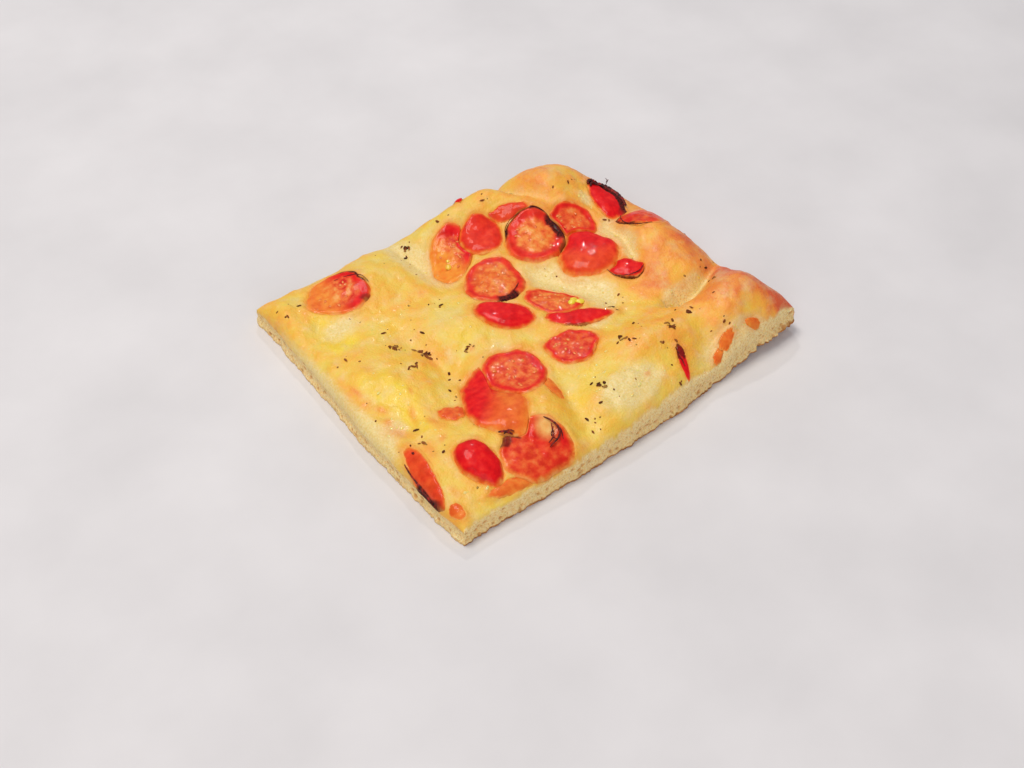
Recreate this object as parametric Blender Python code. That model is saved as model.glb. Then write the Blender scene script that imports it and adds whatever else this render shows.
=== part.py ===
"""A cut slab of tomato focaccia with roasted cherry tomatoes and oregano on top.

The slab lies flat on z = 0. X runs along its long side and Y across it. The rounded
pan crust is at +X, and the other three sides are cut. All sizes below are in
millimetres, and every mesh is scaled to metres when it is made.
"""
import math
import random
from dataclasses import dataclass

import bmesh
import bpy
import numpy as np
from mathutils import Matrix, Vector
from mathutils.bvhtree import BVHTree

MM = 0.001
SEED = 41

# The slab's outline and heights
LEFT_X = -87.4
RIGHT_X = 85.0
FRONT_Y = -73.4
BACK_Y = 71.3
MIDDLE_X = 0.39
MIDDLE_Y = -0.93
CUT_THICKNESS = 7.0
CRUST_THICKNESS = 5.5
CUT_SHOULDER = 13.0
LEFT_SHOULDER = 8.0
BACK_SHOULDER = 9.0
CRUST_SHOULDER = 15.0
LEFT_THICKNESS = 11.0
RISE_TO_RIGHT = 5.0
CORNER_LIFT = 5.5
CORNER_DIRECTION = (0.78, -0.62)
CORNER_REACH = (72.0, 112.0)

# How the outline wanders: strength, wave length in mm, shift of its start
EDGE_WAVES = ((0.5, 9.1, 1.0), (0.3, 4.3, 2.3), (0.2, 2.1, 5.1))
CUT_WANDER = 0.5
CRUST_WANDER = 1.0
BACK_WANDER = 0.9

# How far each side draws in: distance, and the coordinates between which it does so
LEFT_BACK_DRAW = (4.4, -25.0, 62.0)
LEFT_FRONT_DRAW = (1.8, -78.0, -58.0)
CRUST_FRONT_REACH = (2.5, -70.0, -35.0)
CRUST_BACK_DRAW = (21.0, 20.0, 100.0)
CRUST_CORNER_DRAW = (10.0, 52.0, 80.0)
FRONT_DRAW = (8.6, -20.0, 100.0)
BACK_DRAW = (9.0, 46.0, 86.0)
BACK_NOTCH = (2.5, 35.0, 6.0)
RISE_SPAN = (-75.0, 45.0)

# The mesh of the slab
CELLS_ALONG = 52
CELLS_ACROSS = 44
UNDERSIDE_STEP = 4
EDGE_DENSITY = 0.3
LIP_HEIGHT = 1.3
LIP_PROUD = 0.6
LIP_RAGGED = 0.25
LIP_CHAMFER = 0.3
FACE_SHARE = 0.55
FACE_DENT = 0.5
CRUST_BELLY = 0.9

# Swells of risen dough: x, y, reach along, reach across, turn in degrees, rise
SWELLS = (
    (49.0, 49.0, 22.0, 15.5, 18.0, 12.0),
    (17.0, 60.0, 19.0, 10.0, 0.0, 8.5),
    (66.0, -2.0, 16.0, 21.0, 0.0, 8.0),
    (67.0, -49.0, 21.0, 12.0, 12.0, 9.0),
    (25.0, -46.0, 20.0, 11.0, -10.0, 5.5),
    (-1.0, -58.0, 13.0, 9.0, 5.0, 3.5),
    (-40.0, 53.0, 15.0, 12.0, 0.0, 4.0),
    (-78.0, 60.0, 8.0, 9.0, 0.0, 2.5),
    (-66.0, 0.0, 13.0, 26.0, 0.0, 3.6),
    (-62.0, -46.0, 22.0, 15.0, 0.0, 4.5),
    (-32.0, -50.0, 14.0, 16.0, 0.0, 4.5),
    (-28.0, 8.0, 19.0, 14.0, -20.0, 3.0),
)

# Creases between the swells: start, middle, end, half width, depth
CREASES = (
    ((42.0, -34.0), (58.0, -38.0), (81.0, -26.0), 3.6, 8.0),
    ((-50.0, 26.0), (-42.0, 2.0), (-45.0, -22.0), 6.5, 3.6),
    ((-18.0, 78.0), (-17.0, 55.0), (-13.0, 28.0), 7.5, 5.4),
    ((12.0, 20.0), (22.0, 3.0), (33.0, -24.0), 7.0, 4.0),
    ((51.0, -10.0), (56.0, 0.0), (57.0, 12.0), 3.2, 3.6),
    ((-17.0, -40.0), (-19.0, -58.0), (-28.0, -76.0), 5.5, 3.0),
    ((31.0, 78.0), (37.0, 56.0), (46.0, 38.0), 4.8, 6.5),
    ((50.0, 14.0), (62.0, 19.0), (80.0, 21.0), 5.0, 3.0),
    ((36.0, -78.0), (38.0, -62.0), (52.0, -50.0), 8.0, 4.5),
    ((-82.0, -6.0), (-76.0, -13.0), (-72.0, -22.0), 4.0, 1.6),
    ((-70.0, 44.0), (-72.0, 34.0), (-64.0, 26.0), 6.0, 1.6),
)
CREASE_STEPS = 24
CREASE_END_WIDTH = 0.7
CREASE_WOBBLE = 0.12
CREASE_WOBBLES = 9.0
CREASE_FADE = 0.7
CREASE_SHARPNESS = 1.7

# Small blisters and dips all over the top
BLISTERS = 70
BLISTER_REACH = (4.0, 10.0)
BLISTER_STRETCH = (0.6, 1.0)
BLISTER_RISE = (-0.8, 0.9)

# Tomato pieces
GAP = 0.45
SIDE_GAP = 0.6
LEAST_THICKNESS = 1.0
PRESS_INNER = 0.55
PRESS_OUTER = 1.2
LOOK_AROUND = 1.6
LOOK_STEPS = 6
LOOK_SLACK = 0.3
UNDER_CURL = 0.6
RIM_CURL = 0.8
HIGH_ABOVE = 100.0
CLIP_STEPS = 60
LEAST_GAP = 0.3
SAMPLES = 5
RAISE_ROUNDS = 3

# Oregano flakes, in groups: x, y, reach, count
FLAKE_GROUPS = (
    (-80.0, 55.0, 3.5, 2), (-70.5, 57.5, 0.8, 1), (-73.0, 19.0, 1.0, 1), (-53.0, 24.0, 2.0, 1),
    (-53.0, 15.5, 2.5, 3), (-41.0, 14.0, 0.8, 1), (-26.0, 23.0, 0.8, 1), (-46.0, 7.0, 2.2, 2),
    (-55.0, 3.0, 3.0, 2), (-33.0, -5.0, 1.0, 1), (-45.5, -9.5, 1.5, 1), (-52.5, -19.0, 2.0, 1),
    (-75.0, -28.0, 1.5, 1), (-81.0, -33.0, 0.8, 1), (-73.5, -44.0, 1.0, 1), (-56.5, -42.5, 1.0, 1),
    (-15.5, 61.0, 2.5, 3), (1.0, 60.5, 1.0, 1), (22.0, 58.0, 2.5, 1), (36.0, 57.0, 1.0, 1),
    (58.0, 43.0, 1.0, 1), (34.0, -18.0, 1.0, 1), (25.5, -21.0, 1.5, 1), (26.0, -36.0, 1.2, 2),
    (13.5, -41.0, 1.5, 2), (17.0, -47.0, 2.5, 2), (35.0, -47.0, 1.5, 3), (47.0, -46.0, 2.5, 2),
    (25.0, -53.0, 1.0, 1), (53.0, -58.0, 0.8, 1), (73.0, -28.0, 1.2, 1), (47.5, -68.5, 1.5, 1),
    (22.0, -69.5, 1.0, 1), (-6.5, -51.0, 2.0, 2), (-12.0, -61.0, 0.8, 1), (-20.0, -62.0, 1.0, 1),
    (-21.0, -66.5, 0.8, 1),
)
FLAKE_HALF_LENGTH = (0.8, 1.35)
FLAKE_HALF_WIDTH = (0.42, 0.62)
FLAKE_HALF_HEIGHT = 0.42
FLAKE_SUNK = 0.12
FLAKE_CLEAR = 0.6
FLAKE_SPACING = 2.4
FLAKE_EDGE_MARGIN = 2.5
SHORTEST_EDGE = 0.02

# Colours are linear, from the photo: dough, tomato skin, cut flesh, roasted edge
DOUGH_COLOUR = (0.79, 0.47, 0.13)
SKIN_COLOUR = (0.72, 0.03, 0.015)
FLESH_COLOUR = (0.78, 0.13, 0.035)
CHAR_COLOUR = (0.22, 0.03, 0.015)
DOUGH_ROUGHNESS = 0.55
TOMATO_ROUGHNESS = 0.3


@dataclass
class Tomato:
    """One piece of tomato: where it lies, its half sizes, and how it lies."""
    name: str
    kind: str
    x: float
    y: float
    along: float
    across: float
    turn: float
    rise: float
    press: float
    torn: float = 1.0
    bend: float = 0.0
    curl: float = 0.0
    curl_side: float = 0.0
    sectors: int = 18
    colour: tuple = SKIN_COLOUR


# A piece gives way to every piece above it in this list
TOMATOES = (
    Tomato("slice_back", "slice", 27.7, 29.1, 13.2, 12.8, -35.0, 1.4, 2.4, colour=FLESH_COLOUR),
    Tomato("slice_centre", "slice", -0.5, 20.1, 13.2, 13.2, -41.0, 1.0, 2.6, colour=FLESH_COLOUR),
    Tomato("slice_front", "slice", -26.3, -26.8, 12.2, 13.4, -25.0, 1.1, 2.6, colour=FLESH_COLOUR),
    Tomato("half_left_back", "slice", -54.8, 53.9, 13.9, 11.0, -31.0, 1.0, 2.2, torn=1.6, curl=0.9,
           curl_side=50.0, colour=FLESH_COLOUR),
    Tomato("half_back", "dome", 11.3, 44.2, 8.8, 10.2, -30.0, 1.8, 2.4),
    Tomato("slice_yellow_seed", "slice", -3.9, 44.9, 14.4, 9.4, 55.0, 0.8, 2.2,
           colour=FLESH_COLOUR),
    Tomato("dome_right", "dome", 39.7, 8.6, 13.4, 13.0, -43.0, 3.0, 2.8),
    Tomato("scrap_back", "dome", 27.0, 45.8, 8.5, 4.0, -25.0, 1.0, 1.4, torn=1.5, sectors=14),
    Tomato("half_cut_right", "slice", 46.8, 26.6, 10.8, 8.9, -57.0, 1.0, 2.0,
           colour=FLESH_COLOUR),
    Tomato("crescent_right", "dome", 45.6, -9.2, 7.4, 5.6, -40.0, 1.5, 1.8, torn=1.3, curl=0.7,
           curl_side=-80.0, sectors=14),
    Tomato("charred_right", "dome", 67.8, 29.6, 12.4, 6.4, 75.0, 1.8, 1.6, torn=1.8, curl=1.8,
           curl_side=-80.0, colour=CHAR_COLOUR),
    Tomato("half_crust_edge", "slice", 70.0, 8.4, 10.0, 7.6, -27.0, 1.2, 1.6, torn=2.0, sectors=16),
    Tomato("dome_centre", "dome", -9.8, 1.0, 12.6, 7.8, -46.0, 2.2, 2.2),
    Tomato("flesh_centre", "slice", 10.9, -4.1, 12.0, 7.3, -49.0, 1.0, 1.8, torn=1.3, colour=FLESH_COLOUR),
    Tomato("strip_centre", "dome", 12.6, -17.5, 13.4, 5.2, -35.0, 1.3, 1.4, torn=1.3, bend=1.6,
           curl=0.5, curl_side=-90.0, sectors=16),
    Tomato("mass_front", "dome", -42.8, -34.5, 19.0, 12.0, 73.0, 2.4, 2.4, torn=1.6),
    Tomato("half_front", "slice", -0.2, -29.6, 10.8, 9.2, -47.0, 1.2, 1.8, torn=1.6),
    Tomato("scrap_left", "dome", -57.8, -29.2, 5.8, 4.0, -20.0, 1.0, 1.0, torn=1.6, sectors=12,
           colour=FLESH_COLOUR),
    Tomato("strip_middle", "dome", -20.7, -42.6, 6.8, 2.6, 82.0, 0.8, 0.8, sectors=12,
           colour=FLESH_COLOUR),
    Tomato("dome_front", "dome", -65.6, -55.2, 10.8, 7.5, -86.0, 3.4, 3.0),
    Tomato("half_front_edge", "slice", -44.7, -61.6, 13.0, 13.4, -38.0, 1.2, 2.0, torn=1.7, curl=1.6,
           curl_side=60.0),
    Tomato("strip_front_edge", "dome", -60.2, -69.2, 11.0, 2.6, -7.0, 0.8, 0.7, sectors=14,
           colour=FLESH_COLOUR),
    Tomato("strip_left_edge", "dome", -84.1, -46.6, 14.3, 3.5, 82.0, 0.9, 0.6, torn=1.5, curl=0.6,
           curl_side=90.0, sectors=16),
    Tomato("scrap_corner", "dome", -84.0, -66.6, 3.6, 2.3, -77.0, 0.8, 0.5, sectors=10,
           colour=FLESH_COLOUR),
    Tomato("scrap_slope_upper", "dome", 50.4, -63.6, 4.6, 2.1, 20.0, 0.7, 0.5, torn=1.8, sectors=10,
           colour=FLESH_COLOUR),
    Tomato("scrap_slope_lower", "dome", 44.4, -65.9, 3.2, 1.7, 24.0, 0.6, 0.4, torn=1.8, sectors=10,
           colour=FLESH_COLOUR),
    Tomato("strip_front_slope", "dome", 28.2, -62.7, 6.6, 1.8, 70.0, 0.8, 0.5, sectors=12,
           colour=CHAR_COLOUR),
    Tomato("scrap_corner_lobe", "dome", 64.4, -63.9, 3.2, 1.5, -20.0, 0.6, 0.4, sectors=10,
           colour=FLESH_COLOUR),
    Tomato("tip_back_edge", "dome", 14.0, 64.0, 3.0, 1.8, 60.0, 0.9, 0.5, sectors=10,
           colour=CHAR_COLOUR),
)

# How ragged an outline is: strength, waves round it, shift of its start
RAGGED_WAVES = ((0.045, 2.0, 1.0), (0.04, 3.0, 2.0), (0.025, 5.0, 3.0))

# Rings of a piece, as shares of its outline, and the height of each over the dough
UNDER_SHARES = (0.5, 0.92)
CROWNS = {
    "slice": ((0.9, 1.0), (0.68, 0.6), (0.34, 0.7)),
    "dome": ((0.88, 0.45), (0.62, 0.8), (0.3, 0.97)),
}
CROWN_MIDDLE = {"slice": 0.6, "dome": 1.0}


def smooth_step(value, low, high):
    """Rise softly from 0 at low to 1 at high."""
    share = np.clip((value - low) / (high - low), 0.0, 1.0)
    return share * share * (3.0 - 2.0 * share)


def wavy(value, start, size):
    """Give the small irregular wander of a hand-cut edge."""
    wander = value * 0.0
    for strength, length, shift in EDGE_WAVES:
        wander = wander + strength * np.sin(value / length + shift * start)
    return size * wander


def drawn(value, amount, low, high):
    """Give how far a side has moved, from none at low to the whole amount at high."""
    return amount * smooth_step(value, low, high)


def left_edge(y):
    """X of the cut left side, which draws in towards both of its corners."""
    front_draw = LEFT_FRONT_DRAW[0] - drawn(y, *LEFT_FRONT_DRAW)
    return LEFT_X + drawn(y, *LEFT_BACK_DRAW) + front_draw + wavy(y, 0.4, CUT_WANDER)


def right_edge(y):
    """X of the pan crust, which draws in towards the back."""
    front_reach = CRUST_FRONT_REACH[0] - drawn(y, *CRUST_FRONT_REACH)
    back_draw = drawn(y, *CRUST_BACK_DRAW) + drawn(y, *CRUST_CORNER_DRAW)
    return RIGHT_X + front_reach - back_draw + wavy(y, 1.9, CRUST_WANDER)


def front_edge(x):
    """Y of the cut front side, which runs in towards the right."""
    return FRONT_Y + drawn(x, *FRONT_DRAW) + wavy(x, 2.7, CUT_WANDER)


def back_edge(x):
    """Y of the back side, with a notch where two lobes meet."""
    depth, middle, half_width = BACK_NOTCH
    notch = depth * np.exp(-((x - middle) / half_width) ** 2)
    return BACK_Y - drawn(x, *BACK_DRAW) - notch + wavy(x, 4.1, BACK_WANDER)


def corner_lift(x, y):
    """Height that the right front corner has curled off the surface."""
    towards = CORNER_DIRECTION[0] * x + CORNER_DIRECTION[1] * y
    return CORNER_LIFT * smooth_step(towards, *CORNER_REACH)


def hill(x, y, middle_x, middle_y, along, across, turn):
    """Give a soft round hill of height 1."""
    cosine = math.cos(math.radians(turn))
    sine = math.sin(math.radians(turn))
    u = ((x - middle_x) * cosine + (y - middle_y) * sine) / along
    v = ((y - middle_y) * cosine - (x - middle_x) * sine) / across
    return np.exp(-(u * u + v * v))


def groove(x, y, start, middle, end, half_width, depth):
    """Give the depth of a crease along a curve that fades at both ends."""
    deepest = x * 0.0
    for step in range(CREASE_STEPS + 1):
        share = step / CREASE_STEPS
        weights = ((1.0 - share) ** 2, 2.0 * share * (1.0 - share), share * share)
        on_x = weights[0] * start[0] + weights[1] * middle[0] + weights[2] * end[0]
        on_y = weights[0] * start[1] + weights[1] * middle[1] + weights[2] * end[1]
        fullness = 4.0 * share * (1.0 - share)
        wobble = CREASE_WOBBLE * math.sin(CREASE_WOBBLES * share + start[0])
        width = half_width * (CREASE_END_WIDTH + (1.0 - CREASE_END_WIDTH) * fullness + wobble)
        away = (np.hypot(x - on_x, y - on_y) / width) ** CREASE_SHARPNESS
        deepest = np.maximum(deepest, depth * fullness ** CREASE_FADE * np.exp(-away))
    return deepest


def scatter_blisters():
    """Place the small blisters and dips by a seeded draw."""
    draw = random.Random(SEED)
    blisters = []
    for _ in range(BLISTERS):
        x = draw.uniform(LEFT_X, RIGHT_X)
        y = draw.uniform(FRONT_Y, BACK_Y)
        reach = draw.uniform(*BLISTER_REACH)
        stretch = draw.uniform(*BLISTER_STRETCH)
        turn = draw.uniform(0.0, 180.0)
        rise = draw.uniform(*BLISTER_RISE)
        blisters.append((x, y, reach, reach * stretch, turn, rise))
    return blisters


BLISTER_LIST = scatter_blisters()


def risen_height(x, y):
    """Height of the dough well inside the slab."""
    height = LEFT_THICKNESS + RISE_TO_RIGHT * smooth_step(x, *RISE_SPAN)
    for *place, rise in SWELLS:
        height = height + rise * hill(x, y, *place)
    for *place, rise in BLISTER_LIST:
        height = height + rise * hill(x, y, *place)
    for crease in CREASES:
        height = height - groove(x, y, *crease)
    return height


def shoulder(distance, width):
    """Give the quarter round by which the top rolls down to an edge."""
    share = np.clip(distance / width, 0.0, 1.0)
    return np.sqrt(np.clip(1.0 - (1.0 - share) ** 2, 0.0, 1.0))


def dough_top(x, y):
    """Height of the top skin, as if no tomato had sunk into it."""
    height = risen_height(x, y) - CUT_THICKNESS
    height = height * shoulder(x - left_edge(y), LEFT_SHOULDER)
    height = height * shoulder(y - front_edge(x), CUT_SHOULDER)
    height = height * shoulder(back_edge(x) - y, BACK_SHOULDER)
    height = CUT_THICKNESS + height - CRUST_THICKNESS
    height = CRUST_THICKNESS + height * shoulder(right_edge(y) - x, CRUST_SHOULDER)
    return height + corner_lift(x, y)


def share_of(piece, x, y):
    """Give how far out a point is on a piece, from 0 at its middle to 1 at its rim."""
    cosine = math.cos(math.radians(piece.turn))
    sine = math.sin(math.radians(piece.turn))
    u = ((x - piece.x) * cosine + (y - piece.y) * sine) / piece.along
    v = (y - piece.y) * cosine - (x - piece.x) * sine
    v = v - piece.bend * (u * u - 0.5)
    return np.hypot(u, v / piece.across)


def pressed_top(x, y):
    """Height of the top skin with the hollow under each tomato."""
    deepest = x * 0.0
    for piece in TOMATOES:
        inside = 1.0 - smooth_step(share_of(piece, x, y), PRESS_INNER, PRESS_OUTER)
        deepest = np.maximum(deepest, piece.press * inside)
    return dough_top(x, y) - deepest


def spread(share):
    """Crowd the grid lines towards the edges of the slab."""
    return share - EDGE_DENSITY * math.sin(2.0 * math.pi * share) / (2.0 * math.pi)


def slab_place(along, across):
    """Turn two shares of the outline into x and y."""
    level = FRONT_Y + (BACK_Y - FRONT_Y) * across
    x = left_edge(level) + (right_edge(level) - left_edge(level)) * along
    y = front_edge(x) + (back_edge(x) - front_edge(x)) * across
    return float(x), float(y)


def rim_steps():
    """List the grid's outer steps once round, with the outward direction of each."""
    steps = [(i, 0, (0, -1)) for i in range(CELLS_ALONG)]
    steps += [(CELLS_ALONG, j, (1, 0)) for j in range(CELLS_ACROSS)]
    steps += [(i, CELLS_ACROSS, (0, 1)) for i in range(CELLS_ALONG, 0, -1)]
    steps += [(0, j, (-1, 0)) for j in range(CELLS_ACROSS, 0, -1)]
    return steps


def slab_rings(rim):
    """Give the three rings below the rim: the face, the lip and the underside's edge."""
    draw = random.Random(SEED + 1)
    rings = [[], [], []]
    for place, outward, is_crust in rim:
        floor = float(corner_lift(place[0], place[1]))
        face_height = floor + FACE_SHARE * (place[2] - floor)
        face_out = CRUST_BELLY if is_crust else -FACE_DENT
        ragged = draw.uniform(-LIP_RAGGED, LIP_RAGGED)
        lip_out = LIP_PROUD + ragged
        heights = (face_height, floor + LIP_HEIGHT, floor)
        for ring, out, height in zip(rings, (face_out, lip_out, lip_out - LIP_CHAMFER), heights):
            ring.append((place[0] + out * outward.x, place[1] + out * outward.y, height))
    return rings


def add_top(bm):
    """Add the domed top of the slab and give its vertices by grid step."""
    grid = {}
    for j in range(CELLS_ACROSS + 1):
        for i in range(CELLS_ALONG + 1):
            x, y = slab_place(spread(i / CELLS_ALONG), spread(j / CELLS_ACROSS))
            grid[i, j] = bm.verts.new((x, y, float(pressed_top(x, y))))
    for j in range(CELLS_ACROSS):
        for i in range(CELLS_ALONG):
            bm.faces.new((grid[i, j], grid[i + 1, j], grid[i + 1, j + 1], grid[i, j + 1]))
    return grid


def add_walls(bm, grid):
    """Add the cut faces and the crust's side, and give the underside's edge by step."""
    steps = rim_steps()
    rim = []
    for number, (i, j, side) in enumerate(steps):
        before = steps[number - 1][2]
        outward = Vector((side[0] + before[0], side[1] + before[1])).normalized()
        is_crust = side == (1, 0) and before == (1, 0)
        rim.append((grid[i, j].co, outward, is_crust))
    above = [grid[i, j] for i, j, _ in steps]
    for places in slab_rings(rim):
        ring = [bm.verts.new(place) for place in places]
        for number, vertex in enumerate(ring):
            bm.faces.new((above[number], above[number - 1], ring[number - 1], vertex))
        above = ring
    return {(i, j): above[number] for number, (i, j, _) in enumerate(steps)}


def add_underside(bm, edge):
    """Close the slab below with wide cells that meet every step of the edge."""
    under = dict(edge)
    for j in range(UNDERSIDE_STEP, CELLS_ACROSS, UNDERSIDE_STEP):
        for i in range(UNDERSIDE_STEP, CELLS_ALONG, UNDERSIDE_STEP):
            x, y = slab_place(spread(i / CELLS_ALONG), spread(j / CELLS_ACROSS))
            under[i, j] = bm.verts.new((x, y, float(corner_lift(x, y))))
    rim_cells = []
    span = range(1, UNDERSIDE_STEP + 1)
    for j in range(0, CELLS_ACROSS, UNDERSIDE_STEP):
        for i in range(0, CELLS_ALONG, UNDERSIDE_STEP):
            far_i = i + UNDERSIDE_STEP
            far_j = j + UNDERSIDE_STEP
            round_cell = [(i, j + k) for k in span] + [(i + k, far_j) for k in span]
            round_cell += [(far_i, far_j - k) for k in span] + [(far_i - k, j) for k in span]
            corners = [under[step] for step in round_cell if step in under]
            face = bm.faces.new(corners)
            if len(corners) > 4:
                rim_cells.append(face)
    bmesh.ops.poke(bm, faces=rim_cells)


def slab_mesh():
    """Build the slab in millimetres as one closed mesh of triangles."""
    bm = bmesh.new()
    grid = add_top(bm)
    edge = add_walls(bm, grid)
    add_underside(bm, edge)
    bmesh.ops.triangulate(bm, faces=bm.faces[:])
    bmesh.ops.recalc_face_normals(bm, faces=bm.faces[:])
    return bm


def ragged_reach(piece, angle):
    """Give the uneven outline of a piece as a share of its half sizes."""
    start = piece.x * 0.37 + piece.y * 0.23
    wander = 0.0
    for strength, waves, shift in RAGGED_WAVES:
        wander += strength * math.sin(waves * angle + shift * start)
    return 1.0 + piece.torn * wander


def outline_point(piece, angle, scale):
    """Give one point of a piece's outline, drawn in by scale."""
    reach = ragged_reach(piece, angle) * scale
    u = reach * math.cos(angle)
    v = reach * math.sin(angle) * piece.across + piece.bend * (u * u - 0.5) * scale
    cosine = math.cos(math.radians(piece.turn))
    sine = math.sin(math.radians(piece.turn))
    along = u * piece.along
    return (piece.x + along * cosine - v * sine, piece.y + along * sine + v * cosine)


def distance_to(outline, point):
    """Give the distance from a point to a closed outline, negative inside it."""
    nearest = math.inf
    crossings = 0
    px, py = point
    for number, (bx, by) in enumerate(outline):
        ax, ay = outline[number - 1]
        dx = bx - ax
        dy = by - ay
        share = ((px - ax) * dx + (py - ay) * dy) / (dx * dx + dy * dy)
        share = min(1.0, max(0.0, share))
        nearest = min(nearest, math.hypot(px - ax - share * dx, py - ay - share * dy))
        if (ay > py) != (by > py) and px < ax + dx * (py - ay) / dy:
            crossings += 1
    return -nearest if crossings % 2 else nearest


def clipped_outline(piece, earlier):
    """Draw a piece's outline and pull it back from the pieces that lie on top."""
    outline = []
    for sector in range(piece.sectors):
        angle = 2.0 * math.pi * sector / piece.sectors
        for step in range(CLIP_STEPS):
            point = outline_point(piece, angle, 1.0 - step / CLIP_STEPS)
            if all(distance_to(other, point) > SIDE_GAP for other in earlier):
                break
        outline.append(point)
    return outline


def tomato_outlines():
    """Give every piece's outline, in the order in which they lie."""
    outlines = []
    for piece in TOMATOES:
        outlines.append(clipped_outline(piece, outlines))
    return outlines


def surface_height(tree, x, y):
    """Give the height of the slab's mesh at a place, or of its skin past the edge."""
    place, _, _, _ = tree.ray_cast(Vector((x, y, HIGH_ABOVE)), Vector((0.0, 0.0, -1.0)))
    if place is None:
        return float(dough_top(x, y))
    return place.z


def under_height(tree, x, y):
    """Give a height just clear of the slab close round a place."""
    highest = surface_height(tree, x, y)
    for step in range(LOOK_STEPS):
        angle = 2.0 * math.pi * step / LOOK_STEPS
        near_x = x + LOOK_AROUND * math.cos(angle)
        near_y = y + LOOK_AROUND * math.sin(angle)
        highest = max(highest, surface_height(tree, near_x, near_y) - LOOK_SLACK)
    return highest + GAP


def curl_at(piece, angle):
    """Give how far a rim has curled up at an angle."""
    facing = math.cos(angle - math.radians(piece.curl_side))
    return piece.curl * max(0.0, facing) ** 2


def ring_points(piece, outline, share):
    """Give x, y and the angle of each point of a ring, at a share of the outline."""
    points = []
    for sector, (x, y) in enumerate(outline):
        angle = 2.0 * math.pi * sector / piece.sectors
        points.append((piece.x + share * (x - piece.x), piece.y + share * (y - piece.y), angle))
    return points


def tomato_rings(piece, outline, tree):
    """Give the rings of a piece from its underside, over its rim, to its crown."""
    rings = []
    for share in UNDER_SHARES:
        ring = []
        for x, y, angle in ring_points(piece, outline, share):
            curl = UNDER_CURL * share ** 4 * curl_at(piece, angle)
            ring.append((x, y, under_height(tree, x, y) + curl))
        rings.append(ring)
    rim_share, rim_crown = CROWNS[piece.kind][0]
    side = []
    for x, y, angle in ring_points(piece, outline, 1.0):
        low = under_height(tree, x, y)
        high = max(float(dough_top(x, y)) + rim_crown * piece.rise, low + LEAST_THICKNESS)
        side.append((x, y, 0.5 * (low + high) + RIM_CURL * curl_at(piece, angle)))
    rings.append(side)
    for share, crown in CROWNS[piece.kind]:
        ring = []
        for x, y, angle in ring_points(piece, outline, share):
            height = float(dough_top(x, y)) + crown * piece.rise
            height = max(height, under_height(tree, x, y) + LEAST_THICKNESS)
            ring.append((x, y, height + share ** 4 * curl_at(piece, angle)))
        rings.append(ring)
    return rings


def close_with_fan(bm, ring, middle):
    """Close a ring of vertices with triangles to one middle vertex."""
    for number, vertex in enumerate(ring):
        bm.faces.new((ring[number - 1], vertex, middle))


def shortage(face, tree):
    """Give how much a face lacks of the least gap to the slab, over a fine set of points."""
    first, second, third = (vertex.co for vertex in face.verts)
    worst = 0.0
    for i in range(SAMPLES + 1):
        for j in range(SAMPLES + 1 - i):
            place = first + (second - first) * i / SAMPLES + (third - first) * j / SAMPLES
            worst = max(worst, LEAST_GAP + surface_height(tree, place.x, place.y) - place.z)
    return worst


def raise_clear(bm, tree):
    """Raise the underside wherever one of its faces comes too close to the slab."""
    for _ in range(RAISE_ROUNDS):
        raises = {}
        for face in bm.faces:
            if face.normal.z < 0.0:
                lack = shortage(face, tree)
                for vertex in face.verts:
                    raises[vertex] = max(raises.get(vertex, 0.0), lack)
        for vertex, lack in raises.items():
            vertex.co.z += lack
        bm.normal_update()


def tomato_mesh(piece, outline, tree):
    """Build a piece of tomato in millimetres as one closed mesh."""
    bm = bmesh.new()
    rings = [[bm.verts.new(place) for place in ring] for ring in tomato_rings(piece, outline, tree)]
    for low, high in zip(rings, rings[1:]):
        for number, vertex in enumerate(low):
            bm.faces.new((low[number - 1], vertex, high[number], high[number - 1]))
    under = bm.verts.new((piece.x, piece.y, under_height(tree, piece.x, piece.y)))
    crown = float(dough_top(piece.x, piece.y)) + CROWN_MIDDLE[piece.kind] * piece.rise
    crown = max(crown, under.co.z + LEAST_THICKNESS)
    close_with_fan(bm, rings[0], under)
    close_with_fan(bm, rings[-1], bm.verts.new((piece.x, piece.y, crown)))
    bmesh.ops.triangulate(bm, faces=bm.faces[:])
    bmesh.ops.recalc_face_normals(bm, faces=bm.faces[:])
    raise_clear(bm, tree)
    return bm


def inside_slab(x, y, margin):
    """Tell whether a place lies on the slab, clear of its edges."""
    along = left_edge(y) + margin < x < right_edge(y) - margin
    across = front_edge(x) + margin < y < back_edge(x) - margin
    return bool(along and across)


def flake_places(outlines):
    """Place the oregano flakes by a seeded draw, clear of the tomatoes."""
    draw = random.Random(SEED + 2)
    flakes = []
    for group_x, group_y, reach, count in FLAKE_GROUPS:
        for _ in range(count):
            x = group_x + draw.uniform(-reach, reach)
            y = group_y + draw.uniform(-reach, reach)
            half_length = draw.uniform(*FLAKE_HALF_LENGTH)
            half_width = draw.uniform(*FLAKE_HALF_WIDTH)
            turn = draw.uniform(0.0, 2.0 * math.pi)
            clear = half_length + FLAKE_CLEAR
            near_tomato = any(distance_to(outline, (x, y)) < clear for outline in outlines)
            near_flake = any(math.hypot(x - other[0], y - other[1]) < FLAKE_SPACING * FLAKE_HALF_LENGTH[1]
                             for other in flakes)
            on_skin = inside_slab(x, y, FLAKE_EDGE_MARGIN)
            if on_skin and not near_tomato and not near_flake:
                flakes.append((x, y, half_length, half_width, turn))
    return flakes


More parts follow.
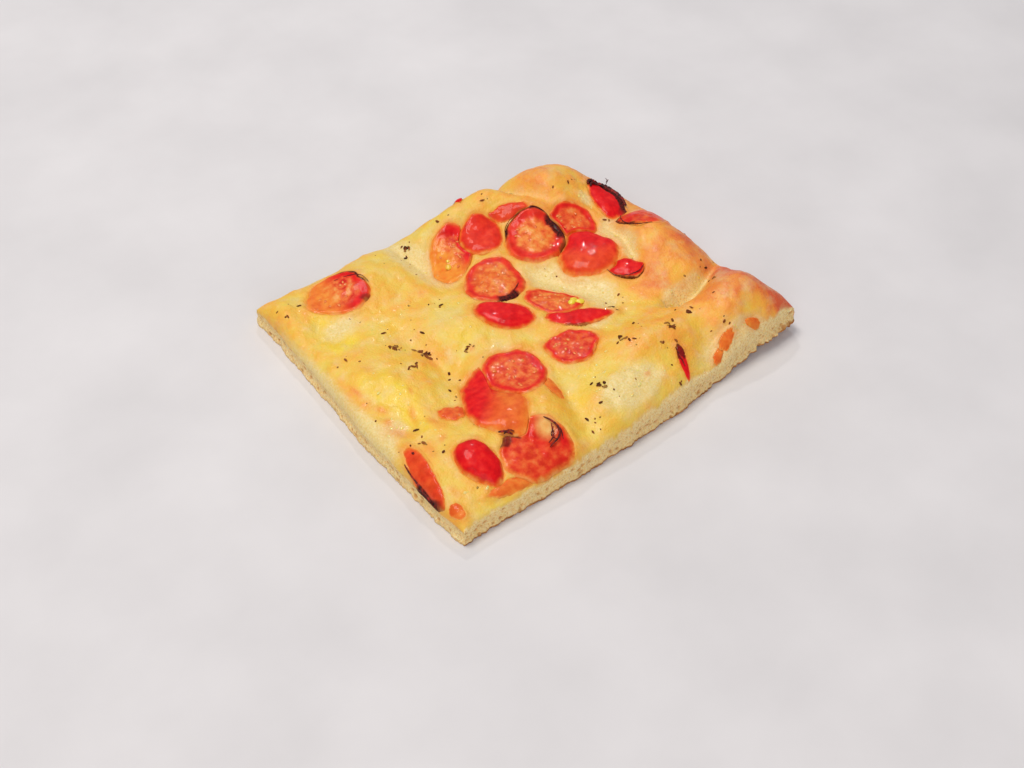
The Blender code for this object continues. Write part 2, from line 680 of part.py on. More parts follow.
def flake_object(flake, tree, holder):
    """Make one flake, a small flat lens that lies half sunk in the skin."""
    x, y, half_length, half_width, turn = flake
    place, normal, _, _ = tree.ray_cast(Vector((x, y, HIGH_ABOVE)), Vector((0.0, 0.0, -1.0)))
    bm = bmesh.new()
    bmesh.ops.create_icosphere(bm, subdivisions=1, radius=1.0)
    lean = normal.to_track_quat("Z", "Y").to_matrix().to_4x4()
    stretch = Matrix.Diagonal((half_length, half_width, FLAKE_HALF_HEIGHT, 1.0))
    middle = Matrix.Translation(place - normal * FLAKE_SUNK)
    bm.transform(middle @ lean @ Matrix.Rotation(turn, 4, "Z") @ stretch)
    return link_mesh("flake", bm, holder)


def link_mesh(name, bm, holder):
    """Scale a mesh to metres and put it in a collection as a named object."""
    bm.transform(Matrix.Translation((-MIDDLE_X, -MIDDLE_Y, 0.0)))
    bm.transform(Matrix.Scale(MM, 4))
    mesh = bpy.data.meshes.new(name)
    bm.to_mesh(mesh)
    bm.free()
    thing = bpy.data.objects.new(name, mesh)
    holder.objects.link(thing)
    return thing


def finish(thing, colour, roughness):
    """Give an object its own material."""
    material = bpy.data.materials.new(thing.name + "_finish")
    material.use_nodes = True
    shader = material.node_tree.nodes["Principled BSDF"]
    shader.inputs["Base Color"].default_value = (*colour, 1.0)
    shader.inputs["Roughness"].default_value = roughness
    shader.inputs["Metallic"].default_value = 0.0
    thing.data.materials.clear()
    thing.data.materials.append(material)


def weld_slivers(mesh):
    """Weld the very short edges that a union leaves."""
    bm = bmesh.new()
    bm.from_mesh(mesh)
    bmesh.ops.remove_doubles(bm, verts=bm.verts[:], dist=SHORTEST_EDGE * MM)
    bmesh.ops.triangulate(bm, faces=bm.faces[:])
    bm.to_mesh(mesh)
    bm.free()


def fuse_flakes(bread, flakes, tree):
    """Join every flake to the slab with one Boolean union, and drop loose scraps."""
    holder = bpy.data.collections.new("flakes")
    bpy.context.scene.collection.children.link(holder)
    for flake in flakes:
        flake_object(flake, tree, holder)
    union = bread.modifiers.new("flakes", "BOOLEAN")
    union.operation = "UNION"
    union.solver = "EXACT"
    union.operand_type = "COLLECTION"
    union.collection = holder
    bpy.context.view_layer.update()
    evaluated = bread.evaluated_get(bpy.context.evaluated_depsgraph_get())
    fused = bpy.data.meshes.new_from_object(evaluated)
    bread.modifiers.clear()
    bread.data = fused
    weld_slivers(fused)
    for thing in list(holder.objects):
        bpy.data.objects.remove(thing)
    bpy.data.collections.remove(holder)


def clear_scene():
    """Remove every object that the scene starts with."""
    for thing in list(bpy.data.objects):
        bpy.data.objects.remove(thing)


def build():
    """Build the slab with its flakes, then every piece of tomato."""
    clear_scene()
    holder = bpy.context.scene.collection
    outlines = tomato_outlines()
    slab = slab_mesh()
    tree = BVHTree.FromBMesh(slab)
    bread = link_mesh("bread", slab, holder)
    fuse_flakes(bread, flake_places(outlines), tree)
    finish(bread, DOUGH_COLOUR, DOUGH_ROUGHNESS)
    for piece, outline in zip(TOMATOES, outlines):
        thing = link_mesh(piece.name, tomato_mesh(piece, outline, tree), holder)
        finish(thing, piece.colour, TOMATO_ROUGHNESS)


build()
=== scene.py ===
"""Looks of a cut slab of tomato focaccia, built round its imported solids.

The skin, the crumb and every piece of tomato are made again at a fine step by the same
rules as the solids, so each lies where its solid does. Lengths are in millimetres until
a mesh is made.
"""
import logging
import math
import random
from dataclasses import dataclass, field
from enum import Enum
from functools import partial

import bpy
import numpy as np
from mathutils import Matrix, Vector


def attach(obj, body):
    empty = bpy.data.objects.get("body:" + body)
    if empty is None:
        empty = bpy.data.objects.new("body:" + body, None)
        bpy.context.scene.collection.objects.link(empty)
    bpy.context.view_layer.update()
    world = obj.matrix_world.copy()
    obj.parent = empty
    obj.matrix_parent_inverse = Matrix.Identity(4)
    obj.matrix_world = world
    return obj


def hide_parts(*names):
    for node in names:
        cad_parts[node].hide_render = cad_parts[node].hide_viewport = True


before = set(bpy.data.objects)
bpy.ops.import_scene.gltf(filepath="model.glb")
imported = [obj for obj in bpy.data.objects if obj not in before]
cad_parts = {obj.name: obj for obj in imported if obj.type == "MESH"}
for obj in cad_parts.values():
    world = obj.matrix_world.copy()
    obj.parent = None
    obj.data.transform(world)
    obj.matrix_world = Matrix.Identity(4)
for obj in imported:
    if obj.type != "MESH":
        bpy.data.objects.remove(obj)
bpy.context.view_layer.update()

MM = 0.001
SEED = 41
MIDDLE_X = 0.39
MIDDLE_Y = -0.93
Array = np.ndarray
Faces = list[tuple[int, ...]]

# Swells of risen dough: x, y, reach along, reach across, turn in degrees, rise
SWELLS = (
    (49.0, 49.0, 22.0, 15.5, 18.0, 12.0),
    (17.0, 60.0, 19.0, 10.0, 0.0, 8.5),
    (66.0, -2.0, 16.0, 21.0, 0.0, 8.0),
    (67.0, -49.0, 21.0, 12.0, 12.0, 9.0),
    (25.0, -46.0, 20.0, 11.0, -10.0, 5.5),
    (-1.0, -58.0, 13.0, 9.0, 5.0, 3.5),
    (-40.0, 53.0, 15.0, 12.0, 0.0, 4.0),
    (-78.0, 60.0, 8.0, 9.0, 0.0, 2.5),
    (-66.0, 0.0, 13.0, 26.0, 0.0, 3.6),
    (-62.0, -46.0, 22.0, 15.0, 0.0, 4.5),
    (-32.0, -50.0, 14.0, 16.0, 0.0, 4.5),
    (-28.0, 8.0, 19.0, 14.0, -20.0, 3.0),
)

# Creases between the swells: start, middle, end, half width, depth
CREASES = (
    ((42.0, -34.0), (58.0, -38.0), (81.0, -26.0), 3.6, 8.0),
    ((-50.0, 26.0), (-42.0, 2.0), (-45.0, -22.0), 6.5, 3.6),
    ((-18.0, 78.0), (-17.0, 55.0), (-13.0, 28.0), 7.5, 5.4),
    ((12.0, 20.0), (22.0, 3.0), (33.0, -24.0), 7.0, 4.0),
    ((51.0, -10.0), (56.0, 0.0), (57.0, 12.0), 3.2, 3.6),
    ((-17.0, -40.0), (-19.0, -58.0), (-28.0, -76.0), 5.5, 3.0),
    ((31.0, 78.0), (37.0, 56.0), (46.0, 38.0), 4.8, 6.5),
    ((50.0, 14.0), (62.0, 19.0), (80.0, 21.0), 5.0, 3.0),
    ((36.0, -78.0), (38.0, -62.0), (52.0, -50.0), 8.0, 4.5),
    ((-82.0, -6.0), (-76.0, -13.0), (-72.0, -22.0), 4.0, 1.6),
    ((-70.0, 44.0), (-72.0, 34.0), (-64.0, 26.0), 6.0, 1.6),
)

# Soft patches on the skin: x, y, reach along, reach across, turn in degrees, amount
BAKE_AND_SHADE_PATCHES = (
    (66.0, -4.0, 15.0, 22.0, 0.0, 0.14),
    (60.0, -41.0, 18.0, 7.0, 12.0, 0.20),
    (82.0, -50.0, 9.0, 15.0, 0.0, 0.24),
    (79.0, -62.0, 8.0, 4.0, 0.0, 0.14),
    (49.0, 50.0, 22.0, 13.0, 18.0, 0.06),
    (28.0, -40.0, 20.0, 5.0, -10.0, 0.16),
    (48.0, -20.0, 12.0, 8.0, 20.0, 0.16),
    (45.0, -4.0, 9.0, 9.0, 0.0, 0.12),
    (-30.0, -52.0, 12.0, 8.0, 0.0, 0.12),
    (-80.0, 57.0, 8.0, 8.0, 0.0, 0.12),
    (-72.0, -64.0, 9.0, 6.0, 0.0, 0.10),
    (-38.0, 32.0, 16.0, 8.0, -25.0, 0.10),
    (2.0, -64.0, 4.0, 3.0, 0.0, 0.26),
    (20.0, 62.0, 16.0, 7.0, 0.0, 0.08),
    # Darker in the left valley: partly browning under the herbs, partly painted shade of the hollow
    (-44.0, 1.0, 6.0, 15.0, -8.0, 0.24),
    (-57.0, 10.0, 8.0, 9.0, 0.0, 0.12),
    (45.0, 57.0, 14.0, 11.0, 0.0, 0.14),
    (74.0, -34.0, 6.0, 14.0, 0.0, 0.14),
    (46.0, -26.0, 9.0, 7.0, 0.0, 0.16),
    (54.0, -15.0, 9.0, 6.0, 0.0, 0.14),
    (69.0, -53.0, 8.0, 5.0, 0.0, 0.26),
    (36.0, -61.0, 11.0, 6.0, 0.0, 0.16),
    (-62.0, -28.0, 5.0, 6.0, 0.0, 0.12),
)
PALE_PATCHES = (
    (2.0, -61.0, 13.0, 8.0, 5.0, 0.90),
    (-17.0, 52.0, 7.0, 20.0, 8.0, 0.80),
    (20.0, 5.0, 9.0, 17.0, 25.0, 0.70),
    (54.0, -33.0, 8.0, 4.0, -10.0, 0.95),
    (54.0, -65.0, 13.0, 3.6, 0.0, 0.90),
    (57.0, -64.0, 9.0, 3.6, 0.0, 0.80),
    (63.0, -30.5, 6.0, 3.0, 12.0, 0.70),
    (-86.0, 24.0, 4.0, 32.0, 0.0, 0.75),
    (-86.0, -20.0, 4.0, 14.0, 0.0, 0.75),
    (60.0, 34.0, 4.0, 5.0, 0.0, 0.60),
    (60.0, 18.0, 4.0, 4.0, 0.0, 0.55),
    (16.0, -26.0, 8.0, 5.0, 0.0, 0.50),
    (8.0, -61.0, 12.0, 5.0, 0.0, 0.40),
    (24.0, -20.0, 5.0, 4.0, 0.0, 0.60),
    (46.0, 20.0, 4.0, 9.0, 25.0, 0.40),
    (52.0, -4.0, 3.0, 5.0, 0.0, 0.55),
    (55.0, 8.0, 4.0, 9.0, 15.0, 0.85),
    (47.0, 15.0, 7.0, 5.0, 0.0, 0.55),
    (-63.0, 38.0, 10.0, 6.0, 0.0, 0.60),
    (-30.0, 14.0, 12.0, 9.0, 0.0, 0.35),
    (-78.0, -22.0, 4.0, 5.0, 0.0, 0.70),
    (-22.0, -12.0, 9.0, 7.0, 0.0, 0.40),
    (30.0, -12.0, 8.0, 7.0, 0.0, 0.45),
    (-58.0, -62.0, 6.0, 4.0, 0.0, 0.35),
)
OIL_PATCHES = (
    (-69.0, 32.0, 7.0, 9.0, 0.0, 0.95),
    (-66.0, 49.0, 5.0, 6.0, 0.0, 0.70),
    (-72.0, 3.0, 7.0, 8.0, 0.0, 0.80),
    (-70.0, -11.0, 7.0, 8.0, 30.0, 1.00),
    (-73.0, -26.0, 7.0, 8.0, 0.0, 0.75),
    (16.0, 10.0, 15.0, 5.0, -49.0, 0.55),
    (-48.0, 26.0, 10.0, 7.0, 0.0, 0.45),
    (-66.0, -66.0, 10.0, 4.0, 0.0, 0.60),
    (-30.0, 2.0, 12.0, 9.0, 0.0, 0.40),
    (-18.0, -52.0, 8.0, 8.0, 0.0, 0.50),
    (28.0, -6.0, 6.0, 9.0, 0.0, 0.35),
    (-2.0, -46.0, 7.0, 5.0, 0.0, 0.45),
)
STAIN_PATCHES = (
    (-79.0, -24.0, 3.0, 6.0, 30.0, 0.55),
    (-70.0, -20.0, 1.6, 5.0, -20.0, 0.60),
    (-66.5, -28.0, 2.0, 4.0, 15.0, 0.55),
    (-76.0, -40.0, 2.4, 4.0, 0.0, 0.40),
    (-20.0, -36.0, 4.0, 6.0, 0.0, 0.45),
    (-70.0, 10.0, 3.0, 4.0, 0.0, 0.30),
    (-66.0, -45.0, 4.0, 3.0, 0.0, 0.30),
    (29.0, -25.0, 4.0, 1.5, 30.0, 0.45),
    (-34.0, -71.0, 9.0, 2.0, 0.0, 0.35),
    (-38.0, -22.0, 3.0, 5.0, 20.0, 0.30),
    (-80.0, 3.0, 0.9, 3.4, 8.0, 0.75),
    (-77.5, -10.0, 1.3, 3.0, 25.0, 0.70),
    (-79.0, -16.5, 1.8, 2.2, 0.0, 0.55),
    (-69.0, -38.0, 2.2, 1.4, 30.0, 0.60),
    (-64.2, -10.5, 0.9, 2.2, -20.0, 0.55),
    (-31.4, -5.4, 1.8, 1.0, 20.0, 0.60),
    (-60.0, -47.0, 2.0, 3.0, 0.0, 0.55),
    (-70.0, -66.0, 1.6, 1.4, 0.0, 0.60),
    (12.0, -60.0, 1.8, 1.2, 30.0, 0.55),
    (58.0, -30.0, 6.0, 2.2, 10.0, 0.45),
    (-60.0, -70.0, 9.0, 2.0, 0.0, 0.35),
    (-80.0, -60.0, 2.0, 4.0, 0.0, 0.40),
)

# Places where the skin is torn and the crumb shows: as the patches above
TORN_PATCHES = (
    (54.5, -32.0, 4.8, 3.2, -10.0, 1.6),
    (57.5, 8.5, 1.8, 5.5, 12.0, 1.0),
    (51.5, -4.0, 1.4, 3.4, 0.0, 0.6),
    (-78.0, -2.5, 2.0, 3.8, 15.0, 0.7),
    (54.0, -66.0, 9.0, 2.4, 0.0, 0.6),
    (62.0, -30.5, 3.5, 1.6, 12.0, 0.8),
    (65.0, -65.5, 5.0, 1.6, 0.0, 0.6),
)

# Narrow tears and folds in the skin: start, middle, end, half width, depth
TEARS = (
    ((45.0, -29.0), (49.0, -34.0), (47.5, -42.0), 1.1, 2.6),
    ((50.5, -35.0), (56.0, -36.5), (63.0, -35.0), 0.9, 2.0),
    ((52.0, -28.5), (54.0, -32.0), (54.5, -37.0), 0.8, 1.0),
    ((56.5, 15.0), (59.0, 8.0), (56.5, 0.0), 1.6, 1.7),
    ((51.0, 12.0), (53.5, 7.0), (52.0, 1.0), 1.3, 1.2),
    ((-10.0, -52.0), (-6.0, -60.0), (-9.0, -68.0), 1.4, 0.9),
    ((6.0, -50.0), (9.0, -57.0), (15.0, -62.0), 1.5, 0.8),
    ((44.0, -61.0), (50.0, -59.0), (57.0, -60.0), 1.4, 0.9),
    ((56.0, -63.5), (62.0, -62.0), (70.0, -63.0), 1.3, 0.9),
    ((-80.0, -18.0), (-77.0, -24.0), (-78.0, -31.0), 1.6, 0.8),
    ((-73.0, -12.0), (-71.0, -20.0), (-73.0, -27.0), 1.5, 0.7),
    ((-20.0, 66.0), (-16.0, 56.0), (-18.0, 44.0), 1.8, 0.8),
    ((30.0, 60.0), (35.0, 54.0), (38.0, 48.0), 1.6, 0.8),
)

# Dark strands of dried tomato: radius, then x, y and height over the dough of each bend
STRANDS = (
    (0.42, ((-35.4, -54.4, 1.0), (-34.2, -57.8, 1.9), (-33.7, -61.4, 2.2), (-35.4, -64.4, 2.0),
            (-40.8, -65.6, 1.4))),
    (0.30, ((-34.6, -58.6, 1.6), (-36.2, -61.4, 2.1), (-37.4, -63.4, 2.0), (-40.2, -64.2, 1.5))),
    (0.26, ((-35.0, -60.4, 2.2), (-37.6, -62.6, 1.9), (-36.6, -65.2, 1.6))),
    (0.22, ((-33.9, -60.0, 2.0), (-33.2, -62.6, 1.7), (-34.6, -65.8, 1.2))),
    (0.55, ((-52.4, -49.4, 0.9), (-50.2, -51.2, 1.5), (-48.4, -53.6, 1.0))),
    (0.34, ((-51.4, -51.6, 1.2), (-49.0, -51.4, 1.6), (-47.2, -52.8, 1.0))),
    (0.62, ((-86.8, -44.2, 0.7), (-87.0, -49.6, 0.7), (-87.3, -55.4, 0.3))),
    (0.34, ((-86.0, -37.0, 0.8), (-86.6, -41.0, 0.8), (-86.9, -46.0, 0.6))),
    (0.50, ((-81.4, -35.6, 0.5), (-81.6, -37.0, 0.9))),
    (1.00, ((70.0, 40.8, 1.0), (72.4, 37.6, 1.8), (74.0, 33.0, 2.0), (74.4, 27.6, 1.7),
            (73.2, 22.6, 0.9))),
    (0.95, ((66.4, 40.6, 0.8), (68.8, 41.6, 1.6), (71.2, 39.6, 1.8))),
    (0.60, ((66.2, 38.4, 1.4), (68.4, 39.8, 1.9), (70.6, 37.6, 1.9))),
    (0.20, ((73.6, 37.0, 2.0), (74.2, 36.6, 4.2), (73.6, 36.2, 5.6), (73.0, 36.6, 6.4))),
    (0.18, ((74.0, 37.2, 3.4), (75.0, 37.4, 4.8), (75.2, 36.8, 5.6))),
    (0.17, ((73.8, 36.4, 4.6), (73.0, 35.6, 5.4), (73.4, 35.0, 6.0))),
    (0.26, ((66.9, 19.0, 0.7), (63.2, 14.6, 0.8), (61.2, 9.6, 0.8), (63.4, 3.4, 0.7),
            (68.0, 0.4, 0.6))),
    (0.20, ((38.9, -4.4, 0.8), (39.0, -9.4, 1.2), (42.4, -13.0, 1.4), (47.4, -14.6, 1.3),
            (51.2, -13.4, 0.9))),
    (0.15, ((18.6, 36.6, 1.1), (20.4, 39.6, 1.5), (24.4, 41.6, 1.6), (29.4, 41.6, 1.5))),
    (0.26, ((-0.6, 9.4, 0.8), (3.0, 10.6, 1.1), (6.4, 12.6, 1.0))),
    (0.22, ((28.6, -57.0, 0.9), (28.0, -61.0, 1.2), (27.2, -65.0, 1.0))),
    (0.20, ((-42.4, 49.0, 0.9), (-43.2, 54.0, 1.1), (-46.8, 58.6, 0.9), (-52.0, 61.4, 0.6))),
)

# Oregano in groups: x, y, reach, count
HERB_CLUSTERS = (
    (-53.8, 14.5, 2.4, 9), (-47.0, 8.0, 2.0, 5), (-44.5, 4.0, 2.2, 7), (34.0, -49.2, 1.8, 7),
    (-14.0, 62.0, 2.2, 6), (-6.5, -54.0, 1.8, 4), (14.0, -42.0, 2.2, 4), (-55.0, 2.0, 1.8, 3),
    (30.0, -57.0, 1.5, 3), (-31.0, -5.0, 1.4, 4), (27.0, -22.0, 1.6, 3), (46.0, -46.0, 1.8, 4),
    (60.0, 20.0, 1.2, 2), (69.0, -37.0, 1.5, 3), (-66.5, -46.0, 1.2, 2), (-76.0, -34.0, 1.4, 2),
)
FLAKE_GROUPS = (
    (-80.0, 55.0, 3.5, 2), (-70.5, 57.5, 0.8, 1), (-73.0, 19.0, 1.0, 1), (-53.0, 24.0, 2.0, 1),
    (-53.0, 15.5, 2.5, 3), (-41.0, 14.0, 0.8, 1), (-26.0, 23.0, 0.8, 1), (-46.0, 7.0, 2.2, 2),
    (-55.0, 3.0, 3.0, 2), (-33.0, -5.0, 1.0, 1), (-45.5, -9.5, 1.5, 1), (-52.5, -19.0, 2.0, 1),
    (-75.0, -28.0, 1.5, 1), (-81.0, -33.0, 0.8, 1), (-73.5, -44.0, 1.0, 1), (-56.5, -42.5, 1.0, 1),
    (-15.5, 61.0, 2.5, 3), (1.0, 60.5, 1.0, 1), (22.0, 58.0, 2.5, 1), (36.0, 57.0, 1.0, 1),
    (58.0, 43.0, 1.0, 1), (34.0, -18.0, 1.0, 1), (25.5, -21.0, 1.5, 1), (26.0, -36.0, 1.2, 2),
    (13.5, -41.0, 1.5, 2), (17.0, -47.0, 2.5, 2), (35.0, -47.0, 1.5, 3), (47.0, -46.0, 2.5, 2),
    (25.0, -53.0, 1.0, 1), (53.0, -58.0, 0.8, 1), (73.0, -28.0, 1.2, 1), (47.5, -68.5, 1.5, 1),
    (22.0, -69.5, 1.0, 1), (-6.5, -51.0, 2.0, 2), (-12.0, -61.0, 0.8, 1), (-20.0, -62.0, 1.0, 1),
    (-21.0, -66.5, 0.8, 1),
)


def smooth_step(value: Array, low: float, high: float) -> Array:
    """Rise softly from 0 to 1.

    Args:
        value: The values to rise over.
        low: Where the rise starts.
        high: Where it ends.

    Returns:
        The share from 0 to 1 at each value.
    """
    share = np.clip((value - low) / (high - low), 0.0, 1.0)
    return share * share * (3.0 - 2.0 * share)


def wavy(value: Array, start: float, size: float) -> Array:
    """Give the small irregular wander of a hand-cut edge.

    Args:
        value: Places along the edge.
        start: The phase of the wander.
        size: Its reach to either side.

    Returns:
        The wander at each place.
    """
    slow = 0.5 * np.sin(value / 9.1 + start)
    middle = 0.3 * np.sin(value / 4.3 + 2.3 * start)
    return size * (slow + middle + 0.2 * np.sin(value / 2.1 + 5.1 * start))


def hill(x: Array, y: Array, place: tuple[float, ...]) -> Array:
    """Give a soft round hill of height 1.

    Args:
        x: Places along the slab.
        y: Places across the slab.
        place: Middle x and y, reach along and across, and turn in degrees.

    Returns:
        The hill's height at each place.
    """
    middle_x, middle_y, along, across, turn = place
    cosine = math.cos(math.radians(turn))
    sine = math.sin(math.radians(turn))
    u = ((x - middle_x) * cosine + (y - middle_y) * sine) / along
    v = ((y - middle_y) * cosine - (x - middle_x) * sine) / across
    return np.exp(-(u * u + v * v))


def patches(x: Array, y: Array, rows: tuple[tuple[float, ...], ...]) -> Array:
    """Add up soft patches.

    Args:
        x: Places along the slab.
        y: Places across the slab.
        rows: A hill's place and its amount for each patch.

    Returns:
        The summed amount at each place.
    """
    total = x * 0.0
    for *place, amount in rows:
        total = total + amount * hill(x, y, tuple(place))
    return total


class Ripple:
    """Smooth random relief over a plane, the same at every run."""

    def __init__(self, seed: int) -> None:
        """Draw the table of heights for one seed."""
        self.table = np.random.default_rng(seed).uniform(-1.0, 1.0, (128, 128))

    def at(self, x: Array, y: Array, size: float) -> Array:
        """Read the relief.

        Args:
            x: Places along the plane.
            y: Places across the plane.
            size: Width of one bump.

        Returns:
            Heights from -1 to 1.
        """
        column, row = np.floor(x / size).astype(int), np.floor(y / size).astype(int)
        across = smooth_step(x / size - column, 0.0, 1.0)
        up = smooth_step(y / size - row, 0.0, 1.0)
        corner = [[self.table[(row + j) % 128, (column + i) % 128] for i in (0, 1)] for j in (0, 1)]
        low = corner[0][0] * (1.0 - across) + corner[0][1] * across
        high = corner[1][0] * (1.0 - across) + corner[1][1] * across
        return low * (1.0 - up) + high * up

    def layered(self, x: Array, y: Array, size: float) -> Array:
        """Read three sizes of relief, each half the last.

        Args:
            x: Places along the plane.
            y: Places across the plane.
            size: Width of the widest bump.

        Returns:
            Heights from about -1 to 1.
        """
        wide = 0.57 * self.at(x, y, size)
        middle = 0.29 * self.at(x + 31.7, y + 11.3, size / 2.0)
        return wide + middle + 0.14 * self.at(x + 7.9, y + 53.1, size / 4.0)


class TomatoKind(Enum):
    """Which side of a tomato piece is up."""

    CUT = "slice"
    SKIN = "dome"


@dataclass(frozen=True)
class Char:
    """A dark roasted stretch of a rim, by its directions from the middle in degrees."""

    start: float
    end: float
    inner: float
    strength: float = 1.0
    curl: float = 0.0


@dataclass(frozen=True)
class Tomato:
    """One piece of tomato: where it lies, its half sizes, and how it was roasted."""

    name: str
    kind: TomatoKind
    x: float
    y: float
    along: float
    across: float
    turn: float
    rise: float
    press: float
    torn: float = 1.0
    rim: float = 1.0
    core: float = 0.0
    red: float = 0.0
    hollow: tuple[float, ...] = ()
    bend: float = 0.0
    curl: float = 0.0
    curl_side: float = 0.0
    amber: float = 0.0
    amber_side: float | None = None
    chars: tuple[Char, ...] = ()
    slot: str = "tomato_skin"

    def local(self, x: Array, y: Array) -> tuple[Array, Array]:
        """Give the place on the piece, as shares of its half sizes.

        Args:
            x: Places along the slab.
            y: Places across the slab.

        Returns:
            Shares along and across the piece.
        """
        cosine = math.cos(math.radians(self.turn))
        sine = math.sin(math.radians(self.turn))
        u = ((x - self.x) * cosine + (y - self.y) * sine) / self.along
        v = (y - self.y) * cosine - (x - self.x) * sine
        return u, (v - self.bend * (u * u - 0.5)) / self.across

    def share(self, x: Array, y: Array) -> Array:
        """Give how far out a place is, from 0 at the middle to 1 at the even rim."""
        return np.hypot(*self.local(x, y))

    def ragged(self, angle: Array) -> Array:
        """Give the uneven outline as a share of the half sizes, by angle on the piece."""
        start = self.x * 0.37 + self.y * 0.23
        wander = 0.045 * np.sin(2.0 * angle + start) + 0.04 * np.sin(3.0 * angle + 2.0 * start)
        wander = wander + 0.025 * np.sin(5.0 * angle + 3.0 * start)
        fine = 0.009 * np.sin(9.0 * angle + 5.0 * start) + 0.007 * np.sin(14.0 * angle + 7.0 * start)
        if self.slot == "tomato_flesh" and self.kind is TomatoKind.SKIN:
            fine = fine * 3.0
        return 1.0 + self.torn * (wander + fine)

    def rim_share(self, x: Array, y: Array) -> Array:
        """Give how far out a place is, with 1 at the uneven rim."""
        u, v = self.local(x, y)
        return np.hypot(u, v) / self.ragged(np.arctan2(v, u))

    def outline(self, angle: Array, scale: Array) -> Array:
        """Give points of the outline.

        Args:
            angle: Angles on the piece.
            scale: How far each point is drawn in, with 1 for the full outline.

        Returns:
            Rows of x and y.
        """
        reach = self.ragged(angle) * scale
        u = reach * np.cos(angle)
        v = reach * np.sin(angle) * self.across + self.bend * (u * u - 0.5) * scale
        cosine = math.cos(math.radians(self.turn))
        sine = math.sin(math.radians(self.turn))
        along = u * self.along
        return np.stack([self.x + along * cosine - v * sine, self.y + along * sine + v * cosine], -1)

    def curl_at(self, angle: Array) -> Array:
        """Give how far the rim has curled up at an angle on the piece."""
        facing = np.cos(angle - math.radians(self.curl_side))
        return self.curl * np.maximum(0.0, facing) ** 2


CUT = TomatoKind.CUT
SKIN = TomatoKind.SKIN

